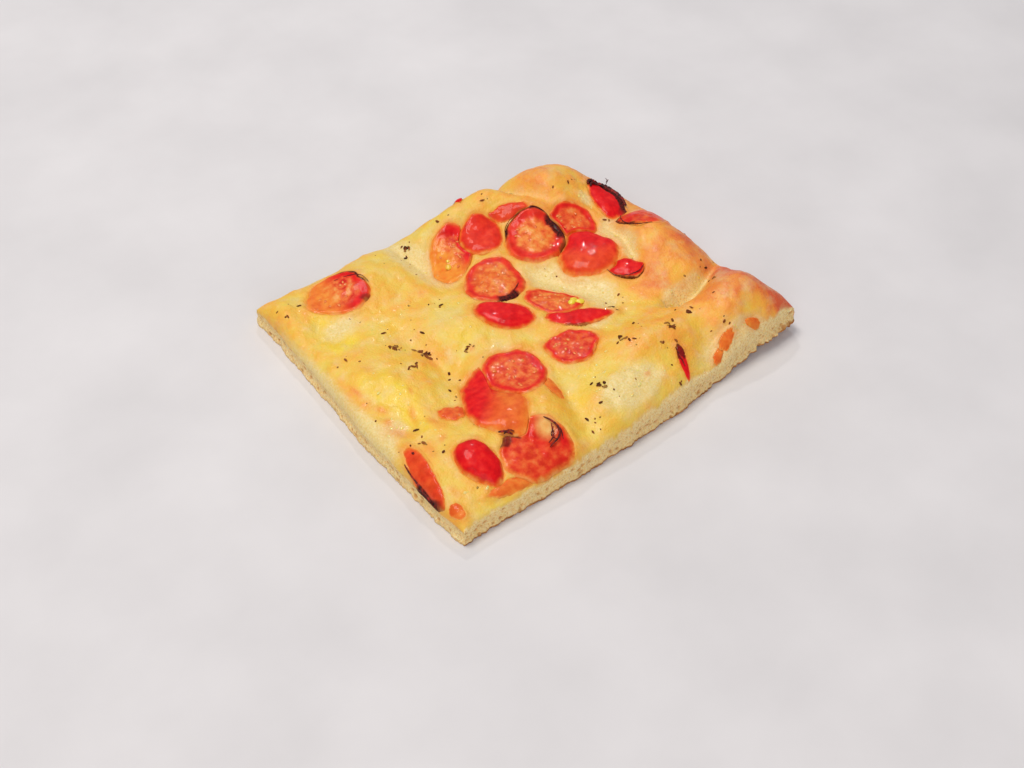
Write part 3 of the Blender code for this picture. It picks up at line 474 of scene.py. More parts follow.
# A piece gives way to every piece above it in this list
TOMATOES = (
    Tomato("slice_back", CUT, 27.7, 29.1, 13.2, 12.8, -35.0, 1.4, 2.4, core=1.0, amber=0.75,
           chars=(Char(-42.0, 30.0, 0.70), Char(20.0, 150.0, 0.93), Char(-75.0, -40.0, 0.92, 0.7)),
           slot="tomato_flesh"),
    Tomato("slice_centre", CUT, -0.5, 20.1, 13.2, 13.2, -41.0, 1.0, 2.6, core=0.35, amber=0.8,
           chars=(Char(-122.0, -72.0, 0.74),), slot="tomato_flesh"),
    Tomato("slice_front", CUT, -26.3, -26.8, 12.2, 13.4, -25.0, 1.1, 2.6, rim=0.7, core=0.25, red=0.3, amber=0.3,
           slot="tomato_flesh"),
    Tomato("half_left_back", CUT, -54.8, 53.9, 13.9, 11.0, -31.0, 1.0, 2.2, torn=1.6, rim=0.5, core=0.8, curl=0.9,
           curl_side=50.0, amber=0.85, amber_side=170.0,
           chars=(Char(-20.0, 68.0, 0.90), Char(-60.0, -45.0, 0.72, 0.6)), slot="tomato_flesh"),
    Tomato("half_back", SKIN, 11.3, 44.2, 8.8, 10.2, -30.0, 1.8, 2.4, amber=0.15),
    Tomato("slice_yellow_seed", CUT, -3.9, 44.9, 14.4, 9.4, 55.0, 0.8, 2.2, rim=0.5, core=0.8, amber=1.5,
           amber_side=180.0, slot="tomato_flesh"),
    Tomato("dome_right", SKIN, 39.7, 8.6, 13.4, 13.0, -43.0, 3.0, 2.8, amber=0.25,
           amber_side=-128.0),
    Tomato("scrap_back", SKIN, 27.0, 45.8, 8.5, 4.0, -25.0, 1.0, 1.4, torn=1.5, amber=0.3),
    Tomato("half_cut_right", CUT, 46.8, 26.6, 10.8, 8.9, -57.0, 1.0, 2.0, rim=0.5, core=0.6, red=0.3, amber=0.5,
           slot="tomato_flesh"),
    Tomato("crescent_right", SKIN, 45.6, -9.2, 7.4, 5.6, -40.0, 1.5, 1.8, torn=1.3, curl=0.7,
           curl_side=-80.0, chars=(Char(-190.0, -40.0, 0.94, 0.9),)),
    Tomato("charred_right", SKIN, 67.8, 29.6, 12.4, 6.4, 75.0, 1.8, 1.6, torn=1.8, curl=1.8,
           curl_side=-80.0, chars=(Char(-95.0, 88.0, 0.62),), slot="tomato_char"),
    Tomato("half_crust_edge", CUT, 70.0, 8.4, 10.0, 7.6, -27.0, 1.2, 1.6, torn=2.0, rim=0.0, amber=0.45,
           chars=(Char(110.0, 200.0, 0.93, 0.9), Char(30.0, 80.0, 0.95, 0.6))),
    Tomato("dome_centre", SKIN, -9.8, 1.0, 12.6, 7.8, -46.0, 2.2, 2.2,
           chars=(Char(35.0, 110.0, 0.90, 0.5),)),
    Tomato("flesh_centre", CUT, 10.9, -4.1, 12.0, 7.3, -49.0, 1.0, 1.8, torn=1.3, rim=0.3, amber=0.55,
           slot="tomato_flesh"),
    Tomato("strip_centre", SKIN, 12.6, -17.5, 13.4, 5.2, -35.0, 1.3, 1.4, torn=1.3, bend=1.6,
           curl=0.5, curl_side=-90.0, chars=(Char(-175.0, -80.0, 0.85, 0.55),)),
    Tomato("mass_front", SKIN, -42.8, -34.5, 19.0, 12.0, 73.0, 2.4, 2.4, torn=1.6, amber=0.65,
           amber_side=-50.0),
    Tomato("half_front", CUT, -0.2, -29.6, 10.8, 9.2, -47.0, 1.2, 1.8, torn=1.6, rim=0.35, red=0.35, amber=0.2),
    Tomato("scrap_left", SKIN, -57.8, -29.2, 5.8, 4.0, -20.0, 1.0, 1.0, torn=1.6, amber=0.5,
           slot="tomato_flesh"),
    Tomato("strip_middle", SKIN, -20.7, -42.6, 6.8, 2.6, 82.0, 0.8, 0.8, amber=0.8,
           slot="tomato_flesh"),
    Tomato("dome_front", SKIN, -65.6, -55.2, 10.8, 7.5, -86.0, 3.4, 3.0),
    Tomato("half_front_edge", CUT, -44.7, -61.6, 13.0, 13.4, -38.0, 1.2, 2.0, torn=1.7, rim=0.0,
           hollow=(-36.4, -57.8, 5.6, 4.2, 60.0), curl=1.6,
           curl_side=60.0, amber=0.3, chars=(Char(110.0, 150.0, 0.72, 0.8),)),
    Tomato("strip_front_edge", SKIN, -60.2, -69.2, 11.0, 2.6, -7.0, 0.8, 0.7, amber=0.7,
           slot="tomato_flesh"),
    Tomato("strip_left_edge", SKIN, -84.1, -46.6, 14.3, 3.5, 82.0, 0.9, 0.6, torn=1.5, curl=0.6,
           curl_side=90.0, amber=0.4, chars=(Char(182.0, 262.0, 0.72, 1.0),)),
    Tomato("scrap_corner", SKIN, -84.0, -66.6, 3.6, 2.3, -77.0, 0.8, 0.5, amber=0.7,
           slot="tomato_flesh"),
    Tomato("scrap_slope_upper", SKIN, 50.4, -63.6, 4.6, 2.1, 20.0, 0.7, 0.5, torn=1.8, amber=0.75,
           slot="tomato_flesh"),
    Tomato("scrap_slope_lower", SKIN, 44.4, -65.9, 3.2, 1.7, 24.0, 0.6, 0.4, torn=1.8, amber=0.75,
           slot="tomato_flesh"),
    Tomato("strip_front_slope", SKIN, 28.2, -62.7, 6.6, 1.8, 70.0, 0.8, 0.5,
           chars=(Char(20.0, 130.0, 0.25, 0.8),), slot="tomato_char"),
    Tomato("scrap_corner_lobe", SKIN, 64.4, -63.9, 3.2, 1.5, -20.0, 0.6, 0.4, amber=0.9,
           slot="tomato_flesh"),
    Tomato("tip_back_edge", SKIN, 14.0, 64.0, 3.0, 1.8, 60.0, 0.9, 0.5,
           chars=(Char(0.0, 180.0, 0.3, 0.9),), slot="tomato_char"),
)


@dataclass
class Slab:
    """The slab's form by the same rules as its solid, with the relief of its skin."""

    left_x: float = -87.4
    right_x: float = 85.0
    front_y: float = -73.4
    back_y: float = 71.3
    cut_thickness: float = 7.0
    crust_thickness: float = 5.5
    cut_shoulder: float = 13.0
    left_shoulder: float = 8.0
    back_shoulder: float = 9.0
    crust_shoulder: float = 15.0
    left_thickness: float = 11.0
    rise_to_right: float = 5.0
    lift: float = 5.5
    lift_direction: tuple[float, float] = (0.78, -0.62)
    lift_reach: tuple[float, float] = (72.0, 112.0)
    crease_steps: int = 24
    blister_count: int = 70
    press_inner: float = 0.55
    press_outer: float = 1.2
    hug_rise: float = 0.8
    hug_width: float = 0.13
    wide_lump: float = 0.85
    small_lump: float = 0.5
    bleb: float = 0.55
    blisters: list[tuple[float, ...]] = field(default_factory=list)
    ripple: Ripple = field(default_factory=lambda: Ripple(SEED))

    def __post_init__(self) -> None:
        """Place the small blisters and dips by the solid's own draw."""
        draw = random.Random(SEED)
        for _ in range(self.blister_count):
            x = draw.uniform(self.left_x, self.right_x)
            y = draw.uniform(self.front_y, self.back_y)
            reach = draw.uniform(4.0, 10.0)
            across = reach * draw.uniform(0.6, 1.0)
            turn = draw.uniform(0.0, 180.0)
            self.blisters.append((x, y, reach, across, turn, draw.uniform(-0.8, 0.9)))

    def left_edge(self, y: Array) -> Array:
        """Give x of the cut left side."""
        draw_in = 4.4 * smooth_step(y, -25.0, 62.0) + 1.8 * (1.0 - smooth_step(y, -78.0, -58.0))
        return self.left_x + draw_in + wavy(y, 0.4, 0.5)

    def right_edge(self, y: Array) -> Array:
        """Give x of the pan crust."""
        reach = 2.5 * (1.0 - smooth_step(y, -70.0, -35.0))
        back = 21.0 * smooth_step(y, 20.0, 100.0) + 10.0 * smooth_step(y, 52.0, 80.0)
        return self.right_x + reach - back + wavy(y, 1.9, 1.0)

    def front_edge(self, x: Array) -> Array:
        """Give y of the cut front side."""
        return self.front_y + 8.6 * smooth_step(x, -20.0, 100.0) + wavy(x, 2.7, 0.5)

    def back_edge(self, x: Array) -> Array:
        """Give y of the back side, with a notch where two lobes meet."""
        notch = 2.5 * np.exp(-((x - 35.0) / 6.0) ** 2)
        return self.back_y - 9.0 * smooth_step(x, 46.0, 86.0) - notch + wavy(x, 4.1, 0.9)

    def corner_lift(self, x: Array, y: Array) -> Array:
        """Give how far the right front corner has curled off the surface."""
        towards = self.lift_direction[0] * x + self.lift_direction[1] * y
        return self.lift * smooth_step(towards, *self.lift_reach)

    def groove(self, x: Array, y: Array, crease: tuple) -> Array:
        """Give the depth of a crease along a curve that fades at both ends.

        Args:
            x: Places along the slab.
            y: Places across the slab.
            crease: Start, middle, end, half width and depth.

        Returns:
            The depth at each place.
        """
        start, middle, end, half_width, depth = crease
        deepest = x * 0.0
        for step in range(self.crease_steps + 1):
            share = step / self.crease_steps
            weights = ((1.0 - share) ** 2, 2.0 * share * (1.0 - share), share * share)
            on_x = weights[0] * start[0] + weights[1] * middle[0] + weights[2] * end[0]
            on_y = weights[0] * start[1] + weights[1] * middle[1] + weights[2] * end[1]
            full = 4.0 * share * (1.0 - share)
            width = half_width * (0.7 + 0.3 * full + 0.12 * math.sin(9.0 * share + start[0]))
            away = np.hypot(x - on_x, y - on_y) / width
            deepest = np.maximum(deepest, depth * full ** 0.7 * np.exp(-away ** 1.7))
        return deepest

    def plain_height(self, x: Array) -> Array:
        """Give the height of the dough without its swells and creases."""
        return self.left_thickness + self.rise_to_right * smooth_step(x, -75.0, 45.0)

    def crease_depth(self, x: Array, y: Array) -> Array:
        """Give the summed depth of every crease."""
        return sum(self.groove(x, y, crease) for crease in CREASES)

    def risen_height(self, x: Array, y: Array) -> Array:
        """Give the height of the dough well inside the slab."""
        swollen = patches(x, y, SWELLS) + patches(x, y, tuple(self.blisters))
        return self.plain_height(x) + swollen - self.crease_depth(x, y)

    def edge_roll(self, x: Array, y: Array) -> tuple[Array, Array]:
        """Give the quarter rounds by which the top rolls down to its edges.

        Args:
            x: Places along the slab.
            y: Places across the slab.

        Returns:
            The roll to the cut sides and the roll to the crust, from 0 at an edge to 1.
        """
        rolls = []
        for distance, width in ((x - self.left_edge(y), self.left_shoulder),
                                (y - self.front_edge(x), self.cut_shoulder),
                                (self.back_edge(x) - y, self.back_shoulder),
                                (self.right_edge(y) - x, self.crust_shoulder)):
            share = np.clip(distance / width, 0.0, 1.0)
            rolls.append(np.sqrt(np.clip(1.0 - (1.0 - share) ** 2, 0.0, 1.0)))
        return rolls[0] * rolls[1] * rolls[2], rolls[3]

    def dough_top(self, x: Array, y: Array) -> Array:
        """Give the height of the skin, as if no tomato had sunk into it."""
        cut_roll, crust_roll = self.edge_roll(x, y)
        height = self.cut_thickness + (self.risen_height(x, y) - self.cut_thickness) * cut_roll
        height = self.crust_thickness + (height - self.crust_thickness) * crust_roll
        return height + self.corner_lift(x, y)

    def lumps(self, x: Array, y: Array) -> Array:
        """Give the soft lumps of the risen dough."""
        wide = self.wide_lump * self.ripple.layered(x, y, 12.0)
        return wide + self.small_lump * self.ripple.layered(x + 200.0, y, 5.0)

    def relief(self, x: Array, y: Array) -> Array:
        """Give the skin's own small relief: soft lumps, fine wrinkles and tiny bubbles."""
        wrinkled = np.clip(patches(x, y, PALE_PATCHES), 0.0, 1.0)
        warp = 2.2 * self.ripple.at(x, y, 8.0)
        folds = self.ripple.at(x + 0.5 * y + warp, 0.2 * (y - 0.5 * x) + warp, 1.2)
        fine = 0.13 * self.ripple.layered(x, y, 1.9)
        blebs = self.bleb * np.clip(self.ripple.layered(x + 90.0, y, 3.6) - 0.22, 0.0, 1.0)
        pits = self.bleb * np.clip(self.ripple.layered(x + 140.0, y, 4.2) - 0.26, 0.0, 1.0)
        torn = np.minimum(sum(self.groove(x, y, tear) for tear in TEARS), 2.0)
        return self.lumps(x, y) + (0.06 + 0.17 * wrinkled) * folds + fine + blebs - pits - torn

    def skin_height(self, x: Array, y: Array) -> Array:
        """Give the height of the skin, pressed in under each tomato and risen round it."""
        deepest = x * 0.0
        nearest = x * 0.0 + 9.0
        for piece in TOMATOES:
            inside = 1.0 - smooth_step(piece.share(x, y), self.press_inner, self.press_outer)
            deepest = np.maximum(deepest, piece.press * inside)
            nearest = np.minimum(nearest, piece.rim_share(x, y))
        hug = self.hug_rise * np.exp(-((nearest - 1.07) / self.hug_width) ** 2)
        hug = hug * smooth_step(nearest, 0.88, 1.0) * (0.8 + 0.35 * self.ripple.at(x, y, 6.0))
        cut_roll, crust_roll = self.edge_roll(x, y)
        fade = smooth_step(cut_roll * crust_roll, 0.1, 0.7)
        return self.dough_top(x, y) - deepest + hug * fade + self.relief(x, y) * fade


def make_mesh(name: str, points: Array, faces: Faces, layers: dict[str, Array]) -> bpy.types.Object:
    """Make a smooth-shaded object from points in millimetres.

    Args:
        name: The piece's name.
        points: Rows of x, y and z in millimetres.
        faces: Point numbers of each face.
        layers: Named values, one for each point, for the finish to read.

    Returns:
        The new object, in the frame's place and metres.
    """
    mesh = bpy.data.meshes.new(name)
    placed = (np.asarray(points) - np.array((MIDDLE_X, MIDDLE_Y, 0.0))) * MM
    mesh.from_pydata(placed.tolist(), [], faces)
    for key, values in layers.items():
        layer = mesh.attributes.new(key, "FLOAT", "POINT")
        layer.data.foreach_set("value", np.asarray(values, np.float32))
    mesh.polygons.foreach_set("use_smooth", np.ones(len(mesh.polygons), bool))
    thing = bpy.data.objects.new(name, mesh)
    bpy.context.scene.collection.objects.link(thing)
    return thing


def ride(thing: bpy.types.Object, slot: str | None, *nodes: str) -> None:
    """Make a piece ride on the part's one body and report it.

    Args:
        thing: The piece.
        slot: The record's material slot, if it has one for the piece; not used.
        nodes: The solids that the piece stands for.
    """
    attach(thing, "root")
    if nodes:
        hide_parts(*nodes)
    logging.info("%s: %d faces", thing.name, len(thing.data.polygons))


def linear(colour: str) -> tuple[float, float, float, float]:
    """Turn an sRGB hex colour to linear values with full opacity."""
    shares = [int(colour[i:i + 2], 16) / 255.0 for i in (1, 3, 5)]
    return (*(s / 12.92 if s <= 0.04045 else ((s + 0.055) / 1.055) ** 2.4 for s in shares), 1.0)


def per_mm(size: float) -> float:
    """Give the texture scale for a pattern of one size in millimetres."""
    return 1.0 / (size * MM)


def add_node(tree: bpy.types.NodeTree, kind: str, inputs: dict | None = None,
             stops: tuple[tuple[float, str], ...] = (), **settings) -> bpy.types.Node:
    """Add a shader node, set it up and link it.

    Args:
        tree: The node tree that takes it.
        kind: The node's type without its common start.
        inputs: For a socket's name or number, its value or the output that feeds it.
        stops: For a colour ramp, its places and hex colours.
        settings: The node's own settings.

    Returns:
        The new node.
    """
    node = tree.nodes.new("ShaderNode" + kind)
    for key, value in settings.items():
        setattr(node, key, value)
    for number, (place, colour) in enumerate(stops):
        elements = node.color_ramp.elements
        stop = elements[number] if number < len(elements) else elements.new(place)
        stop.position = place
        stop.color = linear(colour)
    for key, value in (inputs or {}).items():
        if isinstance(value, bpy.types.NodeSocket):
            tree.links.new(value, node.inputs[key])
        else:
            node.inputs[key].default_value = value
    return node


def new_material(name: str) -> tuple[bpy.types.Material, bpy.types.Node, partial]:
    """Start a material.

    Args:
        name: The material's name.

    Returns:
        The material, its shader and the function that adds nodes to it.
    """
    material = bpy.data.materials.new(name)
    material.use_nodes = True
    shader = material.node_tree.nodes["Principled BSDF"]
    return material, shader, partial(add_node, material.node_tree)


def join(material: bpy.types.Material, shader: bpy.types.Node, feeds: dict) -> None:
    """Feed a shader's sockets.

    Args:
        material: The material that holds the shader.
        shader: The shader.
        feeds: For a socket's name, its value or the output that feeds it.
    """
    for key, value in feeds.items():
        if isinstance(value, bpy.types.NodeSocket):
            material.node_tree.links.new(value, shader.inputs[key])
        else:
            shader.inputs[key].default_value = value


@dataclass(frozen=True)
class OiledBread:
    """Oven-baked yeast dough brushed with olive oil: satin gold skin over a matt pale
    crumb. The skin browns where it stood high and stays cream where it was wet, and the
    oil pools bright yellow. Starch has an IOR near 1.5, and crumb scatters light inside.
    """

    skin: tuple[tuple[float, str], ...] = (
        (0.0, "#EDD682"), (0.2, "#EFCC50"), (0.4, "#F4BC3E"), (0.6, "#F8A63C"),
        (0.82, "#EC7E34"), (1.0, "#DA5C30"))
    cream: tuple[tuple[float, str], ...] = ((0.3, "#E8CA76"), (0.7, "#F5E2A8"))
    oil: tuple[tuple[float, str], ...] = ((0.3, "#F3C238"), (0.7, "#F9DC3A"))
    stain: str = "#EE7F2A"
    crumb: tuple[tuple[float, str], ...] = ((0.3, "#F2C97E"), (0.65, "#FAE3A8"))
    # Painted shade: the darker colour laid into the crumb's pores and its tiny pore dots
    pore_shade: str = "#C8843E"
    base: tuple[tuple[float, str], ...] = ((0.3, "#8C4E1C"), (0.7, "#CF8A44"))
    broad_mm: float = 11.0
    veil_mm: float = 7.0
    middle_mm: float = 3.2
    fine_mm: float = 0.8
    dot_mm: float = 1.3
    pore_shade_mm: float = 0.95
    ior: float = 1.5

    def material(self) -> bpy.types.Material:
        """Build the material."""
        material, shader, node = new_material("oiled_bread")
        place = node("TexCoord").outputs["Object"]
        bake_and_shade, oil, pale, stain, crumb, base, pore_shade = (
            node("Attribute", attribute_name=name).outputs["Fac"]
            for name in ("bake_and_shade", "oil", "pale", "stain", "crumb", "base", "pore_shade"))
        broad, middle, fine = (
            node("TexNoise", {"Vector": place, "Scale": per_mm(size), "Detail": 3.0}).outputs["Fac"]
            for size in (self.broad_mm, self.middle_mm, self.fine_mm))
        dots = node("TexVoronoi", {"Vector": place, "Scale": per_mm(self.dot_mm)}).outputs["Distance"]
        specks = node("MapRange", {0: dots, 1: 0.08, 2: 0.24, 3: 0.24, 4: 0.0}).outputs[0]
        tone = node("Math", {0: broad, 1: 0.50, 2: bake_and_shade}, operation="MULTIPLY_ADD").outputs[0]
        tone = node("Math", {0: middle, 1: 0.36, 2: tone}, operation="MULTIPLY_ADD").outputs[0]
        tone = node("Math", {0: specks, 1: bake_and_shade, 2: tone}, operation="MULTIPLY_ADD").outputs[0]
        tone = node("Math", {0: tone, 1: 0.43}, operation="SUBTRACT").outputs[0]
        colour = node("ValToRGB", {0: tone}, self.skin).outputs[0]
        for amount, stops, grain in ((oil, self.oil, broad), (pale, self.cream, fine)):
            patch = node("ValToRGB", {0: grain}, stops).outputs[0]
            broken = node("Math", {0: middle, 1: 0.9, 2: 0.55}, operation="MULTIPLY_ADD").outputs[0]
            share = node("Math", {0: amount, 1: broken}, operation="MULTIPLY").outputs[0]
            share = node("MapRange", {0: share, 1: 0.12, 2: 0.62, 3: 0.0, 4: 0.9},
                         interpolation_type="SMOOTHSTEP").outputs[0]
            colour = node("Mix", {0: share, 6: colour, 7: patch}, data_type="RGBA").outputs[2]
        veil = node("TexNoise", {"Vector": place, "Scale": per_mm(self.veil_mm), "Detail": 5.0,
                                 "Roughness": 0.62}).outputs["Fac"]
        veil = node("MapRange", {0: veil, 1: 0.48, 2: 0.72, 3: 0.0, 4: 0.5}).outputs[0]
        pure = node("ValToRGB", {0: middle}, self.cream).outputs[0]
        colour = node("Mix", {0: veil, 6: colour, 7: pure}, data_type="RGBA").outputs[2]
        colour = node("Mix", {0: stain, 6: colour, 7: linear(self.stain)}, data_type="RGBA").outputs[2]
        inside = node("ValToRGB", {0: fine}, self.crumb).outputs[0]
        # Painted shade in the crumb: tiny dark dots, and the hollowed pores darkened by their depth
        cells = node("TexVoronoi", {"Vector": place, "Scale": per_mm(self.pore_shade_mm)}).outputs["Distance"]
        tiny = node("MapRange", {0: cells, 1: 0.12, 2: 0.34, 3: 0.55, 4: 0.0}).outputs[0]
        pore_shade_share = node("Math", {0: pore_shade, 1: tiny}, operation="MAXIMUM").outputs[0]
        inside = node("Mix", {0: pore_shade_share, 6: inside, 7: linear(self.pore_shade)}, data_type="RGBA").outputs[2]
        colour = node("Mix", {0: crumb, 6: colour, 7: inside}, data_type="RGBA").outputs[2]
        under = node("ValToRGB", {0: middle}, self.base).outputs[0]
        colour = node("Mix", {0: base, 6: colour, 7: under}, data_type="RGBA").outputs[2]
        wet = node("MapRange", {0: middle, 1: 0.5, 2: 0.62, 3: 0.0, 4: 0.5}).outputs[0]
        share = node("Math", {0: oil, 1: 0.8, 2: 0.2}, operation="MULTIPLY_ADD").outputs[0]
        wet = node("Math", {0: wet, 1: share}, operation="MULTIPLY").outputs[0]
        dry = node("Math", {0: 1.0, 1: crumb}, operation="SUBTRACT").outputs[0]
        wet = node("Math", {0: wet, 1: dry}, operation="MULTIPLY").outputs[0]
        rough = node("MapRange", {0: oil, 1: 0.0, 2: 1.0, 3: 0.48, 4: 0.36}).outputs[0]
        rough = node("Math", {0: crumb, 1: 0.4, 2: rough}, operation="MULTIPLY_ADD",
                     use_clamp=True).outputs[0]
        grain = node("Math", {0: fine, 1: middle}, operation="ADD").outputs[0]
        bump = node("Bump", {"Height": grain, "Distance": 0.32 * MM, "Strength": 0.8}).outputs[0]
        join(material, shader, {
            "Base Color": colour, "Roughness": rough, "Normal": bump, "IOR": self.ior,
            "Coat Weight": wet, "Coat Roughness": 0.14, "Coat IOR": 1.47,
            "Subsurface Weight": 0.12, "Subsurface Scale": 1.5 * MM,
            "Subsurface Radius": (1.0, 0.55, 0.2)})
        return material


@dataclass(frozen=True)
class RoastedTomato:
    """Roasted cherry tomato, skin or cut face up: thin tight skin over wet flesh. The
    skin and the juice give sharp small highlights, the pulp is mottled orange, and the
    rims that dried out are black. Wet fruit has an IOR near 1.35.
    """

    skin: tuple[tuple[float, str], ...] = ((0.3, "#D00610"), (0.5, "#E40E16"), (0.7, "#F02A20"))
    flesh: tuple[tuple[float, str], ...] = (
        (0.34, "#D4281C"), (0.46, "#E6502C"), (0.58, "#EE7038"), (0.70, "#F08E4A"), (0.88, "#F6B878"))
    amber: tuple[tuple[float, str], ...] = ((0.3, "#EE7C26"), (0.7, "#F8A63C"))
    dough: tuple[tuple[float, str], ...] = ((0.3, "#F2AC58"), (0.7, "#F6C87A"))
    char: tuple[tuple[float, str], ...] = ((0.38, "#200A08"), (0.62, "#6A1812"))
    middle_mm: float = 3.0
    fine_mm: float = 0.9
    ior: float = 1.36

    def material(self) -> bpy.types.Material:
        """Build the material."""
        material, shader, node = new_material("roasted_tomato")
        place = node("TexCoord").outputs["Object"]
        pulp, wall, amber, char, halo, dough = (
            node("Attribute", attribute_name=name).outputs["Fac"]
            for name in ("pulp", "wall", "amber", "char", "halo", "dough"))
        middle, fine = (
            node("TexNoise", {"Vector": place, "Scale": per_mm(size), "Detail": 3.0}).outputs["Fac"]
            for size in (self.middle_mm, self.fine_mm))
        mixed = node("Math", {0: middle, 1: 1.15, 2: -0.2}, operation="MULTIPLY_ADD").outputs[0]
        mixed = node("Math", {0: fine, 1: 0.24, 2: mixed}, operation="MULTIPLY_ADD").outputs[0]
        mixed = node("Math", {0: wall, 1: 0.2, 2: mixed}, operation="MULTIPLY_ADD").outputs[0]
        colour = node("ValToRGB", {0: middle}, self.skin).outputs[0]
        for amount, stops, grain in ((pulp, self.flesh, mixed), (amber, self.amber, middle),
                                     (halo, self.amber, fine), (dough, self.dough, middle),
                                     (char, self.char, fine)):
            patch = node("ValToRGB", {0: grain}, stops).outputs[0]
            colour = node("Mix", {0: amount, 6: colour, 7: patch}, data_type="RGBA").outputs[2]
        rough = node("Math", {0: pulp, 1: -0.08, 2: 0.44}, operation="MULTIPLY_ADD").outputs[0]
        rough = node("Math", {0: char, 1: 0.3, 2: rough}, operation="MULTIPLY_ADD").outputs[0]
        bumpy = node("Math", {0: pulp, 1: 0.7, 2: 0.15}, operation="MULTIPLY_ADD").outputs[0]
        height = node("Math", {0: fine, 1: bumpy}, operation="MULTIPLY").outputs[0]
        bump = node("Bump", {"Height": height, "Distance": 0.3 * MM, "Strength": 0.8}).outputs[0]
        join(material, shader, {
            "Base Color": colour, "Roughness": rough, "Normal": bump, "IOR": self.ior,
            "Coat Weight": 0.28, "Coat Roughness": 0.05, "Coat IOR": 1.36,
            "Specular IOR Level": 0.2,
            "Subsurface Weight": 0.12, "Subsurface Scale": 1.2 * MM,
            "Subsurface Radius": (1.0, 0.25, 0.12)})
        return material


@dataclass(frozen=True)
class DriedHerb:
    """Dried oregano, rubbed: matt dark brown-green leaf bits, some nearly black."""

    leaf: tuple[tuple[float, str], ...] = (
        (0.0, "#3E1C0C"), (0.35, "#743A16"), (0.65, "#965426"), (1.0, "#AE8C46"))
    patch_mm: float = 1.6

    def material(self) -> bpy.types.Material:
        """Build the material."""
        material, shader, node = new_material("dried_oregano")
        place = node("TexCoord").outputs["Object"]
        tone = node("Attribute", attribute_name="tone").outputs["Fac"]
        grain = node("TexNoise", {"Vector": place, "Scale": per_mm(self.patch_mm)}).outputs["Fac"]
        mixed = node("Math", {0: grain, 1: 0.8, 2: -0.4}, operation="MULTIPLY_ADD").outputs[0]
        mixed = node("Math", {0: mixed, 1: tone}, operation="ADD").outputs[0]
        colour = node("ValToRGB", {0: mixed}, self.leaf).outputs[0]
        bump = node("Bump", {"Height": grain, "Distance": 0.1 * MM}).outputs[0]
        join(material, shader, {"Base Color": colour, "Roughness": 0.8, "Normal": bump,
                                "IOR": 1.3})
        return material


@dataclass(frozen=True)
class WetSeed:
    """Tomato seed in its gel: pale amber, smooth and wet."""

    shell: tuple[tuple[float, str], ...] = ((0.35, "#EC7030"), (0.65, "#F29444"))
    patch_mm: float = 1.4

    def material(self) -> bpy.types.Material:
        """Build the material."""
        material, shader, node = new_material("tomato_seed")
        place = node("TexCoord").outputs["Object"]
        bright = node("Attribute", attribute_name="bright").outputs["Fac"]
        grain = node("TexNoise", {"Vector": place, "Scale": per_mm(self.patch_mm)}).outputs["Fac"]
        colour = node("ValToRGB", {0: grain}, self.shell).outputs[0]
        yellow = linear("#F2D838")
        colour = node("Mix", {0: bright, 6: colour, 7: yellow}, data_type="RGBA").outputs[2]
        join(material, shader, {"Base Color": colour, "Roughness": 0.25, "Coat Weight": 0.5,
                                "Subsurface Weight": 0.2, "Subsurface Scale": 0.6 * MM})
        return material


@dataclass(frozen=True)
class CharredSkin:
    """Tomato skin burnt dry: nearly black with dark red left in it, slightly shiny."""

    burnt: tuple[tuple[float, str], ...] = ((0.35, "#2A0C0A"), (0.5, "#5C1612"), (0.65, "#A0241C"))
    patch_mm: float = 1.5

    def material(self) -> bpy.types.Material:
        """Build the material."""
        material, shader, node = new_material("charred_skin")
        place = node("TexCoord").outputs["Object"]
        grain = node("TexNoise", {"Vector": place, "Scale": per_mm(self.patch_mm)}).outputs["Fac"]
        colour = node("ValToRGB", {0: grain}, self.burnt).outputs[0]
        bump = node("Bump", {"Height": grain, "Distance": 0.1 * MM}).outputs[0]
        join(material, shader, {"Base Color": colour, "Roughness": 0.6, "Normal": bump,
                                "IOR": 1.36})
        return material


@dataclass(frozen=True)
class OliveOil:
    """Drops of olive oil and juice on warm dough: as yellow as what lies under them,
    with a mirror-smooth skin that gives each a small white glint. Its IOR is 1.47."""

    tint: tuple[tuple[float, str], ...] = ((0.3, "#F2CE62"), (0.7, "#F8E49C"))
    ior: float = 1.47
    film_mm: float = 2.0

    def material(self) -> bpy.types.Material:
        """Build the material."""
        material, shader, node = new_material("olive_oil")
        place = node("TexCoord").outputs["Object"]
        grain = node("TexNoise", {"Vector": place, "Scale": per_mm(self.film_mm)}).outputs["Fac"]
        colour = node("ValToRGB", {0: grain}, self.tint).outputs[0]
        join(material, shader, {"Base Color": colour, "Roughness": 0.06, "IOR": self.ior,
                                "Subsurface Weight": 0.3, "Subsurface Scale": 0.8 * MM})
        return material


